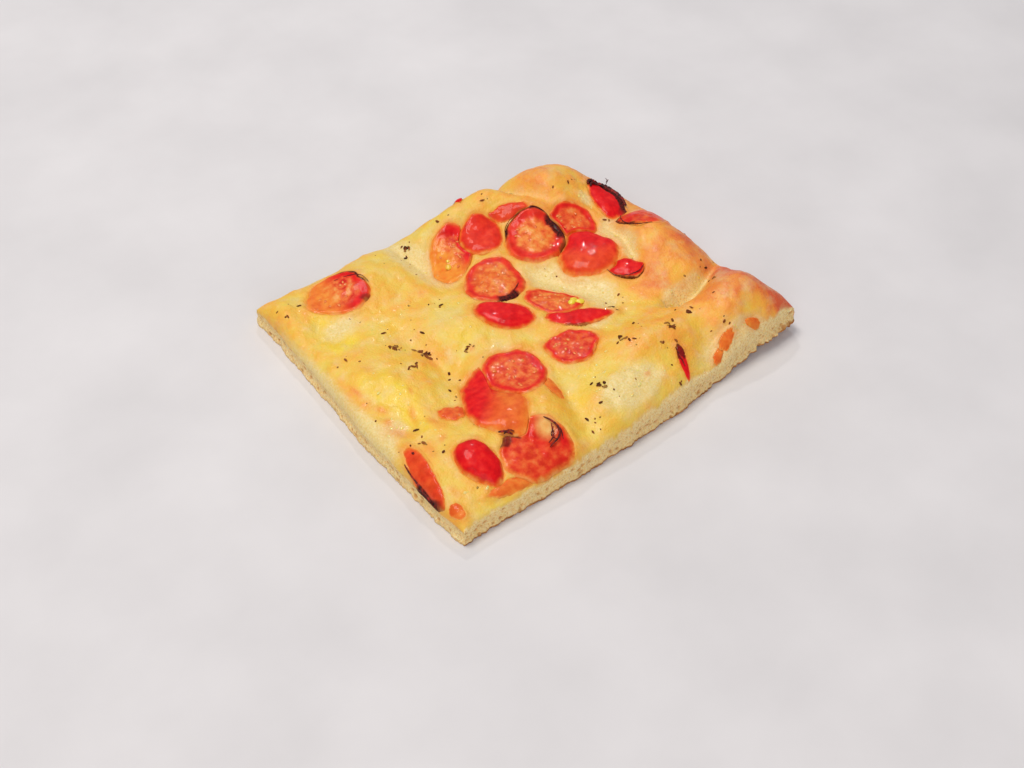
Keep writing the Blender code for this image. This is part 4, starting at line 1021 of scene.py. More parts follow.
@dataclass
class Bread:
    """The baked slab: skin, cut crumb faces, pan crust and browned base, as one mesh."""

    slab: Slab
    cells_along: int = 246
    cells_across: int = 206
    edge_density: float = 0.3
    wall_rows: int = 20
    under_step: int = 8
    lip_height: float = 1.3
    lip_proud: float = 0.6
    face_dent: float = 0.25
    belly: float = 0.9
    pore_count: int = 1300
    finish: OiledBread = OiledBread()

    def spread(self, steps: int) -> Array:
        """Give the shares of a grid's lines, crowded towards the edges."""
        share = np.arange(steps + 1) / steps
        return share - self.edge_density * np.sin(2.0 * np.pi * share) / (2.0 * np.pi)

    def grid(self) -> tuple[Array, Array]:
        """Give x and y of the skin's grid, in rows from the front to the back."""
        slab = self.slab
        along, across = np.meshgrid(self.spread(self.cells_along), self.spread(self.cells_across))
        level = slab.front_y + (slab.back_y - slab.front_y) * across
        left = slab.left_edge(level)
        x = left + (slab.right_edge(level) - left) * along
        front = slab.front_edge(x)
        return x, front + (slab.back_edge(x) - front) * across

    def rim_numbers(self) -> Array:
        """List the grid's outer points once round, against the clock from above."""
        wide, deep = self.cells_along, self.cells_across
        number = np.arange((wide + 1) * (deep + 1)).reshape(deep + 1, wide + 1)
        return np.concatenate([number[0, :-1], number[:-1, -1], number[-1, :0:-1], number[:0:-1, 0]])

    def walls(self, rim: Array) -> tuple[Array, dict[str, Array]]:
        """Make the points below the rim, two for each rim point, row under row.

        Args:
            rim: Rows of x, y and z of the rim.

        Returns:
            The points by row and place, and their values for the finish.
        """
        fine = np.empty((2 * len(rim), 3))
        fine[0::2] = rim
        fine[1::2] = 0.5 * (rim + np.roll(rim, -1, axis=0))
        ahead = np.roll(fine, -5, axis=0) - np.roll(fine, 5, axis=0)
        outward = np.stack([ahead[:, 1], -ahead[:, 0]], -1)
        outward /= np.linalg.norm(outward, axis=1, keepdims=True)
        step = np.linalg.norm(fine - np.roll(fine, 1, axis=0), axis=1)
        run = np.cumsum(step)
        crust = smooth_step(outward[:, 0], 0.6, 0.95)
        torn = smooth_step(fine[:, 0], 52.0, 66.0) * smooth_step(-outward[:, 1], 0.4, 0.9)
        floor = self.slab.corner_lift(fine[:, 0], fine[:, 1])
        tall = fine[:, 2] - floor
        rows, depths = [], []
        ripple = self.slab.ripple
        jag = 0.7 * ripple.layered(run, run * 0.0, 2.4) + 0.6 * ripple.at(run, run * 0.0 + 5.0, 0.9)
        jag = jag + 0.5 * ripple.at(run, run * 0.0 + 15.0, 7.0)
        facing_front = smooth_step(-outward[:, 1], 0.3, 0.8)
        for row in range(1, self.wall_rows + 1):
            height = tall * (1.0 - row / self.wall_rows) ** 1.15
            face = self.belly * crust - self.face_dent * (1.0 - crust)
            middle = 0.55 * tall
            below = smooth_step(height, 0.0, 0.12) * 0.1 + self.lip_proud - 0.1
            to_face = smooth_step(height, self.lip_height * 0.6, middle)
            to_rim = smooth_step(height, middle, tall)
            out = below + (face - below) * to_face
            out = out * (1.0 - to_rim) + 0.12 * to_rim * (1.0 - row / self.wall_rows)
            near_base = 1.0 - smooth_step(height, 0.8, 2.2)
            out = out + jag * (0.6 + 0.6 * torn) * near_base * (1.0 - 0.7 * crust)
            rough = ripple.layered(run, height * 1.4 + 40.0, 2.2)
            out = out + rough * (0.22 + 0.55 * torn) * (1.0 - crust) * (1.0 - to_rim)
            lower = height * (1.0 + 0.10 * torn * ripple.at(run, height, 1.5))
            rows.append(np.stack([fine[:, 0] + out * outward[:, 0], fine[:, 1] + out * outward[:, 1],
                                  floor + lower], -1))
            depths.append(height)
        points = np.array(rows)
        height = np.array(depths)
        # the pores' depth also sets how much painted shade the finish lays in them
        pore_shade = self.cut_pores(points, run, height, outward, (1.0 - crust))
        edge = self.skin_edge(run, tall, ripple)
        crumb = (1.0 - crust) * (1.0 - smooth_step(height, edge - 0.5, edge + 0.4))
        crumb = np.maximum(crumb, (1.0 - crust) * self.torn_share(fine[:, 0], fine[:, 1]))
        line = 0.95 + 0.6 * ripple.layered(run, run * 0.0 + 9.0, 2.6)
        base = 1.0 - smooth_step(height, line - 0.3, line + 0.25)
        base = base * (0.25 + 0.75 * np.maximum(facing_front, crust))
        values = {"crumb": crumb, "base": base, "pore_shade": pore_shade, "crust": np.tile(crust, (len(rows), 1))}
        return points, values

    def skin_edge(self, run: Array, tall: Array, ripple: Ripple) -> Array:
        """Give the uneven height at which the skin gives way to the cut crumb.

        Args:
            run: Way round the slab.
            tall: Height of the wall.
            ripple: The relief that makes it uneven.

        Returns:
            The height over the wall's foot at each place.
        """
        return 0.9 * tall + 0.7 * ripple.layered(run, run * 0.0 + 70.0, 5.0)

    def cut_pores(self, points: Array, run: Array, height: Array, outward: Array,
                  cut: Array) -> Array:
        """Hollow the pores of the crumb into the cut faces.

        Args:
            points: The walls' points by row and place, changed in place.
            run: Way round the slab of each place.
            height: Height over the wall's foot of each point.
            outward: Outward direction of each place.
            cut: How far each place is a cut face.

        Returns:
            How deep in a crumb hollow each point lies, from 0 to 1, which the finish darkens as painted shade.
        """
        draw = random.Random(SEED + 5)
        depth = np.zeros(height.shape)
        for _ in range(self.pore_count):
            middle = draw.uniform(0.0, float(run[-1]))
            level = draw.uniform(0.9, 6.6)
            reach = 0.26 + 0.6 * draw.random() ** 4
            stretch = draw.uniform(1.0, 1.8)
            near = slice(np.searchsorted(run, middle - 2.0 * reach),
                         np.searchsorted(run, middle + 2.0 * reach))
            away = np.hypot((run[near] - middle) / (reach * stretch), (height[:, near] - level) / reach)
            depth[:, near] = np.maximum(depth[:, near], reach * np.clip(1.0 - away ** 2, 0.0, 1.0))
        depth = depth * cut
        points[:, :, 0] -= 0.7 * depth * outward[:, 0]
        points[:, :, 1] -= 0.7 * depth * outward[:, 1]
        return np.clip(depth * 1.3, 0.0, 0.8)

    def underside(self, foot: int, total: int) -> tuple[list, Faces]:
        """Close the slab below with wide cells that meet every point of the foot.

        Args:
            foot: Number of the foot's first point.
            total: Count of points so far.

        Returns:
            The new points and the faces.
        """
        x, y = self.grid()
        wide, deep, step = self.cells_along, self.cells_across, self.under_step
        along = list(range(0, wide, step)) + [wide]
        across = list(range(0, deep, step)) + [deep]
        loop = {}
        for number, name in enumerate(self.rim_numbers()):
            loop[int(name)] = number
        count = 2 * len(loop)
        inner, points, faces = {}, [], []
        for j in across[1:-1]:
            for i in along[1:-1]:
                inner[i, j] = total + len(points)
                points.append((x[j, i], y[j, i], self.slab.corner_lift(x[j, i], y[j, i])))

        def between(a: tuple[int, int], b: tuple[int, int]) -> list[int]:
            """Number the points from corner a up to corner b."""
            on_rim = [c[0] in (0, wide) and c[0] == d[0] or c[1] in (0, deep) and c[1] == d[1]
                      for c, d in ((a, b),)][0]
            if not on_rim:
                return [inner[a] if a in inner else foot + 2 * loop[a[1] * (wide + 1) + a[0]]]
            start = 2 * loop[a[1] * (wide + 1) + a[0]]
            end = 2 * loop[b[1] * (wide + 1) + b[0]]
            way = 1 if (end - start) % count < count / 2 else -1
            return [foot + k % count for k in range(start, start + way * (((end - start) * way) % count), way)]

        for j, next_j in zip(across, across[1:]):
            for i, next_i in zip(along, along[1:]):
                corners = ((i, j), (i, next_j), (next_i, next_j), (next_i, j))
                face = []
                for a, b in zip(corners, corners[1:] + corners[:1]):
                    face += between(a, b)
                faces.append(tuple(face))
        return points, faces

    def values(self, x: Array, y: Array) -> dict[str, Array]:
        """Give the finish's values for places on the skin.

        Args:
            x: Places along the slab.
            y: Places across the slab.

        Returns:
            Named values at each place.
        """
        slab = self.slab
        raised = slab.risen_height(x, y) - slab.plain_height(x)
        bake_and_shade = 0.27 + 0.12 * smooth_step(x, -20.0, 75.0) + 0.012 * raised + 0.24 * slab.lumps(x, y)
        # the patches give browning, and in the left valley also painted shade
        bake_and_shade = bake_and_shade + patches(x, y, BAKE_AND_SHADE_PATCHES)
        bake_and_shade = bake_and_shade + 0.36 * (1.0 - smooth_step(slab.right_edge(y) - x, 3.0, 20.0))
        bake_and_shade = bake_and_shade + 0.10 * (1.0 - smooth_step(slab.back_edge(x) - y, 0.0, 7.0))
        pale = np.clip(patches(x, y, PALE_PATCHES) + 0.06 * slab.crease_depth(x, y), 0.0, 1.0)
        nearest = x * 0.0 + 9.0
        for piece in TOMATOES:
            share = piece.rim_share(x, y)
            gap = (share - 1.0) * 0.5 * (piece.along + piece.across)
            nearest = np.minimum(nearest, np.maximum(gap, 0.0))
        juice = 0.58 * np.exp(-(nearest / 2.6) ** 1.4) * (0.75 + 0.4 * slab.ripple.layered(x, y + 40.0, 6.0))
        stain = np.clip(np.maximum(juice, patches(x, y, STAIN_PATCHES)), 0.0, 1.0)
        oil = np.clip(patches(x, y, OIL_PATCHES), 0.0, 1.0)
        return {"bake_and_shade": bake_and_shade, "pale": pale, "stain": stain, "oil": oil}

    def torn_share(self, x: Array, y: Array) -> Array:
        """Give how far the front shoulder is torn open, so that its crumb shows.

        Args:
            x: Places along the slab.
            y: Places across the slab.

        Returns:
            Values from 0 to 1.
        """
        uneven = 1.2 + smooth_step(x, 20.0, 45.0) - 1.7 * smooth_step(x, 68.0, 77.0)
        ragged = uneven * self.slab.ripple.layered(x + 60.0, y, 3.4)
        reach = 0.4 + 1.6 * smooth_step(x, -20.0, 25.0) - 0.9 * smooth_step(x, 58.0, 72.0) + ragged
        shoulder = 1.0 - smooth_step((y - self.slab.front_edge(x)) / np.maximum(reach, 0.3), 0.75, 1.15)
        grain = 0.75 + 0.5 * self.slab.ripple.layered(x, y + 80.0, 2.4)
        return np.maximum(shoulder, np.clip(patches(x, y, TORN_PATCHES) * grain, 0.0, 1.0))

    def build(self) -> bpy.types.Object:
        """Build the slab, dress it and make it stand for its solid.

        Returns:
            The piece.
        """
        x, y = self.grid()
        torn = self.torn_share(x, y)
        height = self.slab.skin_height(x, y)
        fibres = self.slab.ripple.at(x + 0.3 * y, 0.3 * (y - 0.3 * x), 0.9)
        rough = 0.35 * self.slab.ripple.layered(x + 20.0, y, 2.0) + 0.22 * fibres - 0.35
        inner = smooth_step(y - self.slab.front_edge(x), 0.0, 0.8)
        top = np.stack([x, y, height + rough * torn * inner], -1).reshape(-1, 3)
        wide, deep = self.cells_along + 1, self.cells_across + 1
        number = np.arange(wide * deep).reshape(deep, wide)
        quads = np.stack([number[:-1, :-1], number[:-1, 1:], number[1:, 1:], number[1:, :-1]], -1)
        faces = [tuple(q) for q in quads.reshape(-1, 4).tolist()]
        rim = self.rim_numbers()
        walls, extra = self.walls(top[rim])
        count = 2 * len(rim)
        first = len(top)
        for k in range(len(rim)):
            a, b = int(rim[k]), int(rim[(k + 1) % len(rim)])
            low = [first + (2 * k + n) % count for n in range(3)]
            faces += [(a, low[0], low[1]), (a, low[1], b), (b, low[1], low[2])]
        for row in range(self.wall_rows - 1):
            start = first + row * count
            for k in range(count):
                after = (k + 1) % count
                faces.append((start + k, start + count + k, start + count + after, start + after))
        foot = first + (self.wall_rows - 1) * count
        under, bottom = self.underside(foot, first + walls.shape[0] * count)
        points = np.concatenate([top, walls.reshape(-1, 3), np.array(under)])
        layers = self.values(points[:, 0], points[:, 1])
        on_top = {"crumb": torn.ravel(), "base": np.zeros(len(top)), "pore_shade": np.zeros(len(top))}
        for key, values in on_top.items():
            layers[key] = np.concatenate([values, extra[key].ravel(),
                                          np.full(len(under), float(key == "base"))])
        piece = make_mesh("focaccia_bread", points, faces + bottom, layers)
        piece.data.materials.append(self.finish.material())
        ride(piece, "dough", "bread")
        return piece


@dataclass
class TomatoPieces:
    """Every piece of roasted tomato, with fine rims, pulp and charred edges."""

    slab: Slab
    side_gap: float = 0.15
    clip_steps: int = 120
    sunk: float = 0.25
    skin_thickness: float = 0.9
    rings: int = 22
    outlines: list[Array] = field(default_factory=list)
    ripple: Ripple = field(default_factory=lambda: Ripple(SEED + 7))
    finish: RoastedTomato = RoastedTomato()

    def distance_to(self, outline: Array, points: Array) -> Array:
        """Give the distance from points to a closed outline, negative inside it.

        Args:
            outline: Rows of x and y.
            points: Rows of x and y.

        Returns:
            The distance of each point.
        """
        before = np.roll(outline, 1, axis=0)
        side = outline - before
        away = points[:, None, :] - before[None]
        share = np.clip((away * side).sum(-1) / (side * side).sum(-1), 0.0, 1.0)
        nearest = np.linalg.norm(away - share[..., None] * side, axis=-1).min(1)
        level = points[:, 1][:, None]
        spans = (before[:, 1] > level) != (outline[:, 1] > level)
        slope = np.where(side[:, 1] == 0.0, 1e-9, side[:, 1])
        hit = points[:, 0][:, None] < before[:, 0] + side[:, 0] * (level - before[:, 1]) / slope
        inside = (spans & hit).sum(1) % 2 == 1
        return np.where(inside, -nearest, nearest)

    def clipped(self, piece: Tomato, sectors: int) -> Array:
        """Draw a piece's outline and pull it back from the pieces that lie on top.

        Args:
            piece: The piece.
            sectors: How many points the outline has.

        Returns:
            Rows of x and y.
        """
        angles = 2.0 * np.pi * np.arange(sectors) / sectors
        scales = 1.0 - np.arange(self.clip_steps) / self.clip_steps
        points = piece.outline(angles[None, :], scales[:, None])
        clear = np.ones(points.shape[:2], bool)
        for other, outline in zip(TOMATOES, self.outlines):
            reach = max(other.along, other.across) + max(piece.along, piece.across) + 3.0
            if math.hypot(other.x - piece.x, other.y - piece.y) < reach:
                apart = self.distance_to(outline, points.reshape(-1, 2)) > self.side_gap
                clear &= apart.reshape(clear.shape)
        first = np.argmax(clear, axis=0)
        kept = scales[first]
        kept = np.minimum(kept, (np.roll(kept, 1) + 2.0 * kept + np.roll(kept, -1)) / 4.0)
        return piece.outline(angles, kept)

    def crown(self, piece: Tomato, share: Array, around: Array) -> Array:
        """Give the height of the face over the dough, by share of the outline.

        Args:
            piece: The piece.
            share: Shares from 0 at the middle to 1 at the rim.
            around: Direction of each point from the middle; not used.

        Returns:
            The height as a share of the piece's rise.
        """
        if piece.kind is TomatoKind.CUT:
            places = (0.0, 0.34, 0.68, 0.80, 0.88, 0.93, 0.965, 0.985, 1.0)
            flat = np.array((0.66, 0.76, 0.70, 0.70, 0.62, 0.47, 0.26, 0.02, -0.35))
            heights = flat + piece.rim * np.array((0.0, 0.0, -0.05, 0.04, 0.2, 0.26, 0.16, 0.06, 0.0))
        else:
            places = (0.0, 0.3, 0.62, 0.8, 0.88, 0.94, 0.98, 1.0)
            heights = (1.0, 0.97, 0.80, 0.57, 0.38, 0.18, -0.02, -0.28)
        return np.interp(share, places, heights)

    def relief(self, piece: Tomato, x: Array, y: Array, share: Array, around: Array) -> Array:
        """Give the small relief of the face: pulp, seed chambers and puckered skin.

        Args:
            piece: The piece.
            x: Places along the slab.
            y: Places across the slab.
            share: Shares of the outline.
            around: Direction of each point from the middle.

        Returns:
            The height to add.
        """
        if piece.kind is TomatoKind.CUT:
            pulp = 1.0 - smooth_step(share, 0.76, 0.92)
            lumps = self.ripple.layered(x, y, 2.6)
            chambers = 0.3 * (self.wall_at(piece, share, around) - 0.4)
            return pulp * (0.32 * lumps + chambers) + 0.22 * self.ripple.layered(x, y, 4.0)
        pucker = self.ripple.layered(8.0 * np.cos(around), 8.0 * np.sin(around) + share, 2.2)
        dents = 0.24 * self.ripple.layered(x, y, 3.4)
        return 0.22 * pucker * smooth_step(share, 0.5, 0.95) + dents

    def wall_at(self, piece: Tomato, share: Array, around: Array) -> Array:
        """Give how far a point of a cut face lies on the pale core or the walls from it.

        Args:
            piece: The piece.
            share: Shares of the outline.
            around: Direction of each point from the middle.

        Returns:
            Values from 0 in a seed chamber to 1 on the core.
        """
        warp = 0.5 * np.sin(3.0 * share + piece.x)
        walls = np.abs(np.cos(1.5 * around + warp + piece.y)) ** 6 * smooth_step(share, 0.05, 0.3)
        walls = walls * (1.0 - smooth_step(share, 0.6, 0.8))
        return np.clip(0.7 * walls + np.exp(-(share / 0.24) ** 2), 0.0, 1.0)

    def scar(self, piece: Tomato, x: Array, y: Array) -> Array:
        """Give the depth of the hollow in a torn piece, where the dough shows."""
        return 0.7 * hill(x, y, piece.hollow) if piece.hollow else x * 0.0

    def char_at(self, piece: Tomato, share: Array, around: Array) -> Array:
        """Give how dark the roasting left each point.

        Args:
            piece: The piece.
            share: Shares of the outline.
            around: Direction of each point from the middle, over the slab.

        Returns:
            Values from 0 to 1.
        """
        dark = share * 0.0
        for char in piece.chars:
            half = math.radians(char.end - char.start) / 2.0
            middle = math.radians(char.start + char.end) / 2.0
            off = np.abs((around - middle + np.pi) % (2.0 * np.pi) - np.pi)
            along = 1.0 - smooth_step(off, half * 0.75, half * 1.1)
            ragged = 0.05 * self.ripple.at(around * 9.0, share * 4.0 + piece.x, 1.0)
            inner = char.inner + 0.25 * (1.0 - char.inner) * (1.0 - along) + ragged
            dark = np.maximum(dark, char.strength * along * smooth_step(share, inner - 0.03, inner + 0.05))
        return dark

    def build_piece(self, piece: Tomato) -> bpy.types.Object:
        """Build one piece.

        Args:
            piece: The piece.

        Returns:
            The object.
        """
        slab = self.slab
        size = max(piece.along, piece.across)
        sectors = 96 if size > 6.0 else 56
        outline = self.clipped(piece, sectors)
        self.outlines.append(outline)
        middle = np.array((piece.x, piece.y))
        shares = np.sin(np.linspace(0.0, 0.5 * np.pi, self.rings + 1))[1:]
        shares = 1.0 - (1.0 - shares[::-1]) * 1.0
        angles = 2.0 * np.pi * np.arange(sectors) / sectors
        rings = []
        for share in (0.5, 0.92, 1.0):
            place = middle + (outline - middle) * share
            low = slab.skin_height(place[:, 0], place[:, 1]) - self.sunk
            rings.append((place, low, np.full(sectors, share)))
        for share in shares:
            place = middle + (outline - middle) * share
            x, y = place[:, 0], place[:, 1]
            around = np.arctan2(y - piece.y, x - piece.x)
            height = slab.dough_top(x, y) + piece.rise * self.crown(piece, np.full(sectors, share), around)
            height = height + self.relief(piece, x, y, np.full(sectors, share), around)
            height = height + share ** 4 * piece.curl_at(angles) - self.scar(piece, x, y)
            least = slab.skin_height(x, y) + self.skin_thickness * (1.0 - share ** 6) + 0.1
            rings.append((place, np.maximum(height, least), np.full(sectors, share)))
        points = np.concatenate([np.column_stack([p, h]) for p, h, _ in rings])
        share = np.concatenate([s for _, _, s in rings])
        low_middle = float(slab.skin_height(*middle)) - self.sunk
        high_middle = float(slab.dough_top(*middle)) + piece.rise * float(self.crown(piece, 0.0, 0.0))
        high_middle = max(high_middle, low_middle + self.skin_thickness + self.sunk)
        points = np.concatenate([points, [(*middle, low_middle), (*middle, high_middle)]])
        share = np.concatenate([share, [0.0, 0.0]])
        faces = []
        for ring in range(len(rings) - 1):
            for k in range(sectors):
                a, b = ring * sectors + k, ring * sectors + (k + 1) % sectors
                faces.append((a, b, b + sectors, a + sectors))
        under, over = len(points) - 2, len(points) - 1
        last = (len(rings) - 1) * sectors
        for k in range(sectors):
            after = (k + 1) % sectors
            faces += [(after, k, under), (last + k, last + after, over)]
        around = np.arctan2(points[:, 1] - piece.y, points[:, 0] - piece.x)
        thing = make_mesh(piece.name + "_flesh", points, faces, self.values(piece, points, share, around))
        return thing

    def values(self, piece: Tomato, points: Array, share: Array, around: Array) -> dict[str, Array]:
        """Give the finish's values for a piece.

        Args:
            piece: The piece.
            points: Its points.
            share: Shares of the outline.
            around: Direction of each point from the middle.

        Returns:
            Named values for each point.
        """
        x, y = points[:, 0], points[:, 1]
        cut = piece.kind is TomatoKind.CUT
        wander = 0.11 * self.ripple.layered(x, y, 4.5)
        start = 0.66 - 0.14 * piece.core
        pulp = (1.0 - smooth_step(share + wander, start, start + 0.2)) if cut else share * 0.0
        pulp = pulp * (1.0 - piece.red)
        if cut and piece.rim == 0.0:
            pulp = np.clip(0.3 + 0.9 * self.ripple.layered(x, y, 6.0), 0.0, 0.75)
        if not cut and piece.slot == "tomato_flesh":
            pulp = np.clip(0.35 + 1.1 * self.ripple.layered(x, y, 2.6), 0.0, 0.9)
        wall = self.wall_at(piece, share, around) * (piece.core if cut else 0.0)
        amber = np.full(len(points), piece.amber)
        if piece.amber_side is not None:
            facing = np.cos(around - math.radians(piece.amber_side)) * share
            amber = piece.amber * smooth_step(facing, -0.35, 0.45)
        mottle = 0.5 + 0.5 * self.ripple.layered(x, y, 4.0)
        loose = piece.slot == "tomato_flesh" and not cut
        amber = amber * (0.55 * mottle + (0.5 if loose or piece.amber_side is not None else 0.25))
        amber = amber * (0.15 + 0.85 * pulp if cut and piece.amber_side is None else 1.0)
        edge = 0.05 * self.ripple.layered(x, y, 2.0)
        halo = 0.7 * smooth_step(share + edge, 0.84, 1.0) * (1.0 - 0.5 * piece.rim if cut else 1.0)
        pale = 0.95 * np.clip(self.scar(piece, x, y) * 2.2 - 0.35, 0.0, 1.0)
        pale = np.maximum(pale, 0.6 * smooth_step(share + 2.0 * edge, 0.93, 1.04))
        dark = self.char_at(piece, share, around)
        return {"pulp": pulp, "wall": wall, "amber": np.clip(amber, 0.0, 1.0), "halo": halo,
                "dough": pale, "char": dark}

    def build(self) -> list[bpy.types.Object]:
        """Build every piece in the order in which they lie.

        Returns:
            The objects.
        """
        material = self.finish.material()
        things = []
        for piece in TOMATOES:
            thing = self.build_piece(piece)
            thing.data.materials.append(material)
            ride(thing, piece.slot, piece.name)
            things.append(thing)
        return things


@dataclass
class Scatter:
    """Joins many small bodies of one kind to one mesh."""

    points: list[tuple[float, float, float]] = field(default_factory=list)
    faces: Faces = field(default_factory=list)
    layer: list[float] = field(default_factory=list)

    def add(self, points: Array, faces: Faces, value: float = 0.0) -> None:
        """Add one body.

        Args:
            points: Rows of x, y and z in millimetres.
            faces: Its faces by its own point numbers.
            value: The value of its points in the finish.
        """
        start = len(self.points)
        self.points += [tuple(p) for p in np.asarray(points).tolist()]
        self.faces += [tuple(start + n for n in face) for face in faces]
        self.layer += [value] * len(points)


def round_body(rings: int, sectors: int) -> tuple[Array, Faces]:
    """Make a ball of radius 1.

    Args:
        rings: Rings between its poles.
        sectors: Points of each ring.

    Returns:
        Its points and faces.
    """
    points = [(0.0, 0.0, -1.0)]
    for ring in range(1, rings + 1):
        slope = math.pi * ring / (rings + 1)
        for k in range(sectors):
            turn = 2.0 * math.pi * k / sectors
            points.append((math.sin(slope) * math.cos(turn), math.sin(slope) * math.sin(turn),
                           -math.cos(slope)))
    points.append((0.0, 0.0, 1.0))
    faces = []
    for k in range(sectors):
        after = (k + 1) % sectors
        faces.append((0, 1 + after, 1 + k))
        for ring in range(rings - 1):
            a, b = 1 + ring * sectors + k, 1 + ring * sectors + after
            faces.append((a, b, b + sectors, a + sectors))
        last = 1 + (rings - 1) * sectors
        faces.append((last + k, last + after, len(points) - 1))
    return np.array(points), faces


def lie_on(slab: Slab, x: float, y: float, turn: float) -> Matrix:
    """Give the lie of a small body on the skin.

    Args:
        slab: The slab it lies on.
        x: Place along the slab.
        y: Place across the slab.
        turn: Turn about the skin's own normal, in radians.

    Returns:
        The matrix that puts a flat body there.
    """
    step = 0.4
    xs = np.array((x, x + step, x - step, x, x))
    ys = np.array((y, y, y, y + step, y - step))
    z = slab.skin_height(xs, ys)
    normal = Vector(((z[2] - z[1]) / (2 * step), (z[4] - z[3]) / (2 * step), 1.0)).normalized()
    lean = normal.to_track_quat("Z", "Y").to_matrix().to_4x4()
    return Matrix.Translation((x, y, float(z[0]))) @ lean @ Matrix.Rotation(turn, 4, "Z")


def moved(points: Array, matrix: Matrix) -> Array:
    """Move rows of points by a matrix."""
    m = np.array(matrix)
    return points @ m[:3, :3].T + m[:3, 3]


@dataclass
class Oregano:
    """Dried oregano: leaf bits where the solid has its flakes, and finer crumbs of leaf."""

    slab: Slab
    tomatoes: TomatoPieces
    half_length: tuple[float, float] = (0.8, 1.35)
    half_width: tuple[float, float] = (0.42, 0.62)
    clear: float = 0.6
    margin: float = 2.5
    speck_size: tuple[float, float] = (0.18, 0.5)
    loose_length: tuple[float, float] = (0.5, 1.3)
    group_specks: int = 2
    loose_specks: int = 50
    finish: DriedHerb = DriedHerb()

    def free(self, x: float, y: float, clear: float) -> bool:
        """Tell whether a place is on the skin and clear of the tomatoes."""
        slab = self.slab
        along = slab.left_edge(y) + self.margin < x < slab.right_edge(y) - self.margin
        across = slab.front_edge(x) + self.margin < y < slab.back_edge(x) - self.margin
        place = np.array([(x, y)])
        return bool(along and across) and all(
            float(self.tomatoes.distance_to(outline, place)[0]) > clear
            for outline in self.tomatoes.outlines)

    def leaf(self, draw: random.Random, length: float, width: float) -> tuple[Array, Faces]:
        """Make one leaf bit: thin, cupped and with a torn outline.

        Args:
            draw: The seeded draw.
            length: Half length.
            width: Half width.

        Returns:
            Its points and faces.
        """
        points, faces = round_body(3, 10)
        cup = draw.uniform(0.15, 0.5)
        torn = [draw.uniform(0.78, 1.1) for _ in range(10)]
        for number, point in enumerate(points):
            sector = (number - 1) % 10
            reach = torn[sector] if 0 < number < len(points) - 1 else 1.0
            rise = cup * (point[0] ** 2) * 0.5 + 0.2 * point[1] ** 2
            points[number] = (point[0] * length * reach, point[1] * width * reach,
                              0.16 * point[2] + rise * width + 0.1)
        return points, faces

    def build(self) -> bpy.types.Object:
        """Place and build all of it.

        Returns:
            The piece.
        """
        scatter = Scatter()
        draw = random.Random(SEED + 2)
        shape = random.Random(SEED + 3)
        placed = []
        for group_x, group_y, reach, count in FLAKE_GROUPS:
            for _ in range(count):
                x = group_x + draw.uniform(-reach, reach)
                y = group_y + draw.uniform(-reach, reach)
                length, width = draw.uniform(*self.half_length), draw.uniform(*self.half_width)
                turn = draw.uniform(0.0, 2.0 * math.pi)
                near = any(math.hypot(x - a, y - b) < 2.4 * self.half_length[1] for a, b in placed)
                if self.free(x, y, length + self.clear) and not near:
                    placed.append((x, y))
                    points, faces = self.leaf(shape, length, width)
                    scatter.add(moved(points, lie_on(self.slab, x, y, turn)), faces,
                                0.1 + 0.7 * shape.random() ** 1.6)
        spots = [(gx + shape.gauss(0.0, 2.6), gy + shape.gauss(0.0, 2.6))
                 for gx, gy, _, _ in FLAKE_GROUPS for _ in range(self.group_specks)]
        spots += [(shape.uniform(-86.0, 84.0), shape.uniform(-72.0, 70.0))
                  for _ in range(self.loose_specks)]
        for group_x, group_y, reach, count in HERB_CLUSTERS:
            for _ in range(count):
                x, y = shape.gauss(group_x, 0.6 * reach), shape.gauss(group_y, 0.6 * reach)
                length = shape.uniform(*self.loose_length)
                points, faces = self.leaf(shape, length, length * shape.uniform(0.35, 0.75))
                if self.free(x, y, 0.6):
                    lie = lie_on(self.slab, x, y, shape.uniform(0.0, 2.0 * math.pi))
                    scatter.add(moved(points, lie), faces, 0.1 + 0.8 * shape.random())
        for x, y in spots:
            size = shape.uniform(*self.speck_size)
            turn = shape.uniform(0.0, 2.0 * math.pi)
            if self.free(x, y, 0.3):
                points, faces = round_body(2, 6)
                stretch = np.array((size * shape.uniform(1.0, 2.2), size, size * 0.5))
                scatter.add(moved(points * stretch, lie_on(self.slab, x, y, turn)), faces,
                            0.25 + 0.7 * shape.random())
        piece = make_mesh("oregano", scatter.points, scatter.faces, {"tone": scatter.layer})
        piece.data.materials.append(self.finish.material())
        ride(piece, None)
        return piece


